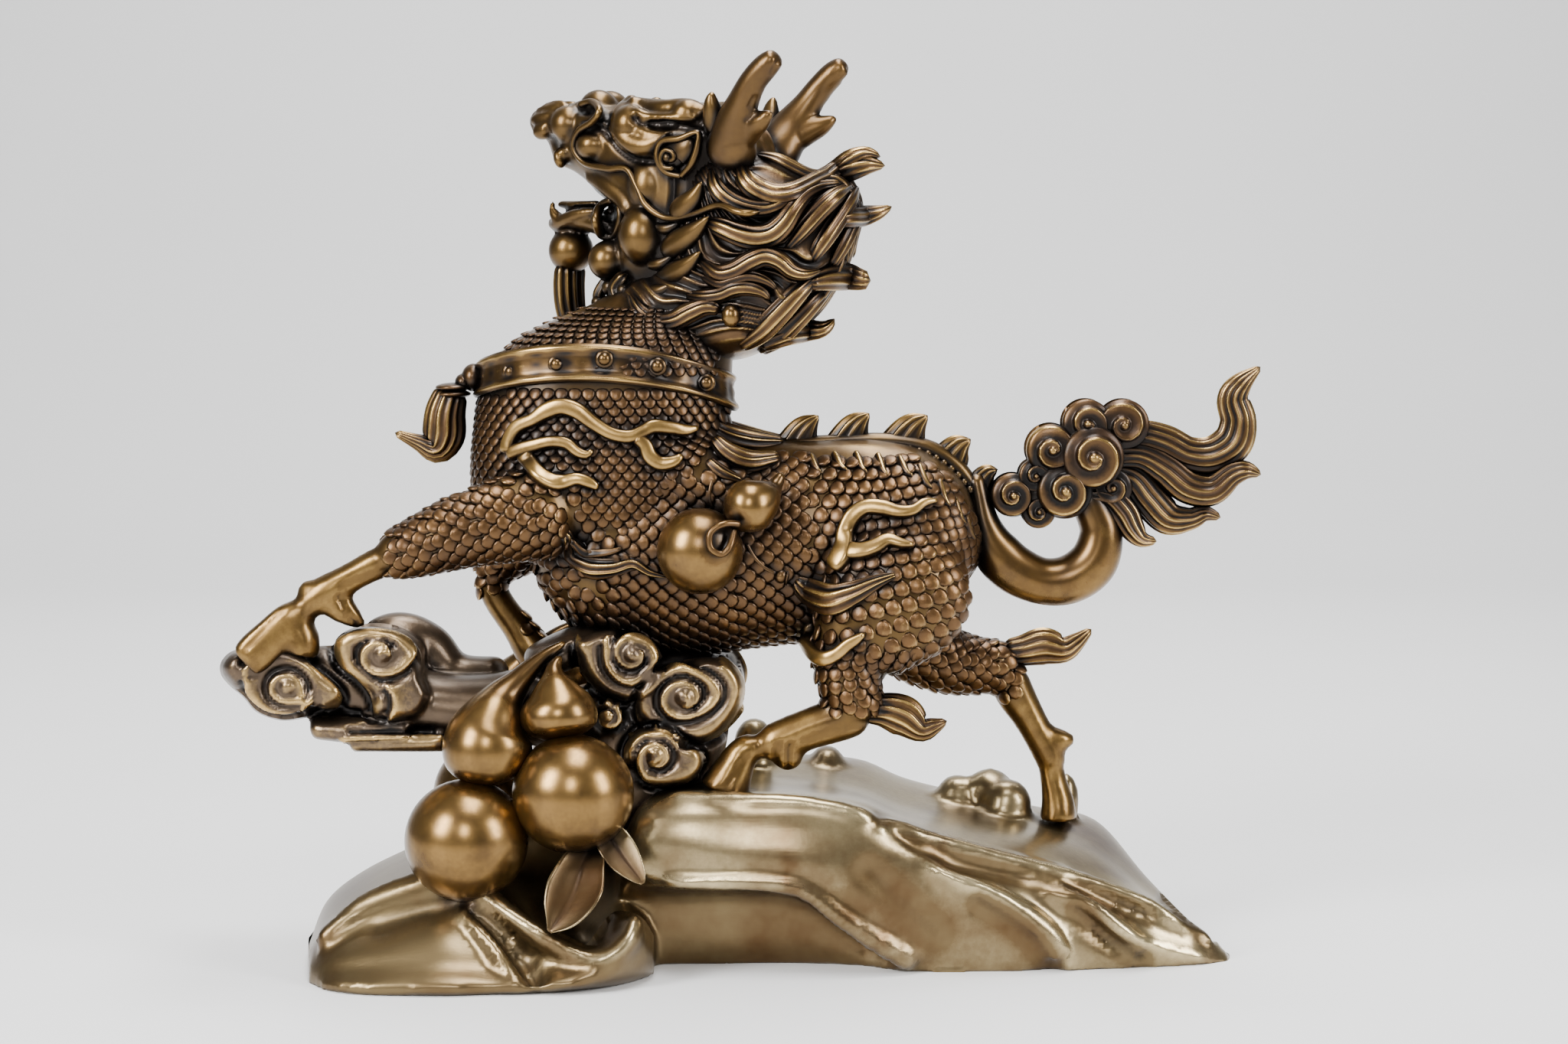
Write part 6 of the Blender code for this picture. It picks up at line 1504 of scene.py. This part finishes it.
def leafShell(stations, cup, thick=1.1, sides=34):
    # a cupped blade: across it the height is cup * t^2 less a vein at t = 0, above, and the same less its
    # thickness, below. Columns are x, z, depth, half width and how far the blade faces up
    x, z, y, wide, up = np.array(stations, float).T
    rows = evenly(np.column_stack([sight(x, z, y), wide, up]), 1.3)
    tangent = unit(np.gradient(rows[:, :3], axis=0))
    facing = np.stack([0 * rows[:, 4], -np.cos(rows[:, 4]), np.sin(rows[:, 4])], 1)
    facing = unit(facing - (facing * tangent).sum(1, keepdims=True) * tangent)
    over = np.cross(tangent, facing)
    half = sides // 2
    t = np.concatenate([np.linspace(-1, 1, half), np.linspace(1, -1, half)])
    top = np.concatenate([np.ones(half), np.zeros(half)])
    size = rows[:, 3][:, None]
    rib = np.exp(-np.abs(t) * 7)[None]
    high = (cup * t[None] ** 2 - 0.07 * rib * top) * size + (top - 0.5) * thick
    rim = np.clip(np.abs(t) - 0.8, 0, 1)[None] * 5 + 0 * size
    rings = rows[:, None, :3] + over[:, None] * (t * size)[..., None] + facing[:, None] * high[..., None]
    relief = np.clip(0.42 + 0.5 * rim - 0.35 * rib * top, 0, 1)
    return closed(rings, rings[0].mean(0), rings[-1].mean(0), relief)


def makeGourds():
    left = [
        egg(-128.5, 51.5, -60, 27.8, 27, 27.6, around=52),
        limb([(-119, 77, -57, 8, 8), (-119, 84, -57, 17, 16.5), (-118.5, 93, -56, 20.2, 19.5),
              (-117.5, 102, -54, 19, 18.5), (-114.5, 111, -52, 14, 14), (-110, 119, -49, 9.4, 9),
              (-104, 126, -47, 6.2, 6), (-97.5, 133, -45, 4.4, 4.4), (-90, 139.5, -43, 2.8, 3),
              (-81.5, 145, -40, 1.2, 1.8)], 52, 1.8, blunt=(0.5, 0.8)),
    ]
    right = [
        egg(-78.5, 73.5, -60, 27.4, 26, 26.8, around=52),
        limb([(-84, 98, -57, 8, 8), (-84.5, 103, -56, 15.4, 15), (-85, 110, -55, 17.6, 17),
              (-85.5, 117, -54, 15.6, 15), (-86.5, 124, -53, 9.8, 9.5), (-87, 129.5, -51, 5.2, 5),
              (-86.5, 134, -49, 3.2, 3.4), (-83.5, 138.5, -47, 1.3, 1.8)], 52, 1.8, blunt=(0.5, 0.8)),
    ]
    addPiece("gourds", both([*left, *right]), brassSmooth)
    leaves = [
        leafShell([(-66, 55, -61, 1.5, 0.5), (-70, 48, -66, 6, 0.6), (-74, 39, -73, 10, 0.7),
                   (-78, 27, -81, 12.5, 0.7), (-84, 16, -87, 9, 0.6), (-90, 8, -90, 1, 0.5)], 0.28),
        leafShell([(-70, 58, -60, 2, 0.4), (-62, 53, -65, 7, 0.5), (-55, 43, -70, 7.5, 0.5),
                   (-48, 34, -74, 3.5, 0.4), (-46, 31, -75, 0.8, 0.4)], 0.25),
    ]
    addPiece("leaves", leaves, brassStone)


makeGourds()
print("base made")

# Wear and painted shade: how open each spot is, from how much metal lies in the cells in front of it. It is 0 in
# a deep cut and 1 on the open skin. The patina follows it, and so does a painted shade that darkens the colour
# where other metal crowds in front, as between parts.

wearShadePlan = dict(cell=1.5, fine=1.5, wide=4.5, near=2.6, far=8.0)


def blurred(grid, width):  # a Gaussian of this width in cells, one axis after another
    reach = int(3 * width) + 1
    taps = np.exp(-0.5 * (np.arange(-reach, reach + 1) / width) ** 2)
    taps /= taps.sum()
    for axis in range(3):
        pad = [(reach, reach) if a == axis else (0, 0) for a in range(3)]
        wide = np.pad(grid, pad)
        size = grid.shape[axis]
        grid = sum(t * wide.take(range(k, k + size), axis) for k, t in enumerate(taps))
    return grid


def readAt(grid, at):  # trilinear
    at = np.clip(at, 0, np.array(grid.shape) - 1.001)
    low = at.astype(int)
    part = at - low
    out = np.zeros(len(at))
    for corner in range(8):
        step = np.array([corner & 1, corner >> 1 & 1, corner >> 2 & 1])
        share = np.where(step, part, 1 - part).prod(1)
        out += share * grid[tuple((low + step).T)]
    return out


def wearAndPaintedShade():
    cell = wearShadePlan["cell"]
    points = [shell["points"] for _, shell in made]
    every = np.concatenate(points)
    low = every.min(0) - 12
    size = ((every.max(0) + 12 - low) / cell).astype(int) + 1
    filled = np.zeros(size, np.float32)
    filled[tuple(((every - low) / cell).round().astype(int).T)] = 1
    fine, wide = blurred(filled, wearShadePlan["fine"]), blurred(filled, wearShadePlan["wide"])
    for piece, shell in made:
        normal = normalsOf(shell)
        at = shell["points"] - low
        closeBy = readAt(fine, (at + wearShadePlan["near"] * normal) / cell)
        around = readAt(wide, (at + wearShadePlan["far"] * normal) / cell)
        # openness is low where other metal lies close in front. It lowers the relief, partly for patina in the
        # hollows and partly as painted shade, and the second layer is the painted shade's own factor
        openness = np.clip(1.25 - 3.2 * closeBy, 0, 1) * np.clip(1.35 - 5.5 * around, 0.25, 1)
        relief = np.clip(shell["relief"] * 0.75 + 0.25 * openness - 0.25 * (1 - openness), 0, 1)
        for name, values in (("relief", relief), ("openness_shade", 0.12 + 0.88 * openness)):
            layer = piece.data.attributes.new(name, "FLOAT", "POINT")
            layer.data.foreach_set("value", values.astype(np.float32))


wearAndPaintedShade()
print("wear worked out")


# Studio

studioPlan = dict(sky="#ffffff", skyStrength=0.2)


def floorMaterial():
    material = bpy.data.materials.new("pale_matt_table")
    material.use_nodes = True
    tree = material.node_tree
    shader = tree.nodes["Principled BSDF"]
    place = addNode(tree, "ShaderNodeTexCoord").outputs["Object"]
    cloudy = addNode(tree, "ShaderNodeTexNoise", {"Scale": 3.0, "Detail": 2.0}, {"Vector": place})
    tone = addNode(tree, "ShaderNodeMapRange", {"To Min": 0.62, "To Max": 0.66}, {"Value": cloudy.outputs["Fac"]})
    grey = addNode(tree, "ShaderNodeCombineColor", {}, {k: tone.outputs[0] for k in ("Red", "Green", "Blue")})
    tree.links.new(grey.outputs[0], shader.inputs["Base Color"])
    shader.inputs["Roughness"].default_value = 0.55
    return material


def makeFloor():  # a level sheet that curves up far behind the figure
    across = np.linspace(-3.5, 3.5, 15)
    reach = np.concatenate([np.linspace(-2.2, 1.6, 9), 1.6 + 1.2 * np.sin(np.linspace(0.1, math.pi / 2, 12)),
                            [2.8]])
    rise = np.concatenate([np.zeros(9), 1.2 - 1.2 * np.cos(np.linspace(0.1, math.pi / 2, 12)), [3.6]])
    x, y = np.meshgrid(across, reach)
    z = np.repeat(rise[:, None], len(across), 1)
    points = np.stack([x, y, z], -1).reshape(-1, 3)
    i, j = np.meshgrid(np.arange(len(reach) - 1), np.arange(len(across) - 1), indexing="ij")
    a = (i * len(across) + j).ravel()
    quads = np.stack([a, a + 1, a + len(across) + 1, a + len(across)], 1)
    shell = dict(points=points, quads=quads, tris=np.zeros((0, 3), int))
    floor = bpy.data.objects.new("table", meshFrom("table", shell, 1.0))
    bpy.context.scene.collection.objects.link(floor)
    floor.data.materials.append(floorMaterial())


def addLight(name, place, aim, size, power):
    data = bpy.data.lights.new(name, "AREA")
    data.shape = "RECTANGLE"
    data.size, data.size_y = size
    data.energy = power
    light = bpy.data.objects.new(name, data)
    light.location = place
    light.rotation_euler = (Vector(aim) - Vector(place)).to_track_quat("-Z", "Y").to_euler()
    bpy.context.scene.collection.objects.link(light)


def light():
    world = bpy.data.worlds.new("studio")
    bpy.context.scene.world = world
    world.use_nodes = True
    world.node_tree.nodes["Background"].inputs["Color"].default_value = linear(studioPlan["sky"])
    world.node_tree.nodes["Background"].inputs["Strength"].default_value = studioPlan["skyStrength"]
    addLight("softbox_left", (-1.2, -1.1, 1.0), (0, 0, 0.18), (0.5, 0.9), 62)
    addLight("softbox_right", (1.4, -0.8, 0.8), (0, 0, 0.18), (0.4, 0.9), 34)
    addLight("overhead", (0.1, 0.0, 1.5), (0, 0, 0.1), (1.4, 0.5), 50)
    addLight("backdrop", (0.0, 1.0, 1.6), (0, 2.2, 0.5), (2.4, 0.5), 60)
    addLight("strip_front", (-0.1, -1.7, 0.9), (0, 0, 0.15), (0.25, 0.5), 14)


makeFloor()
light()
print("studio lit")
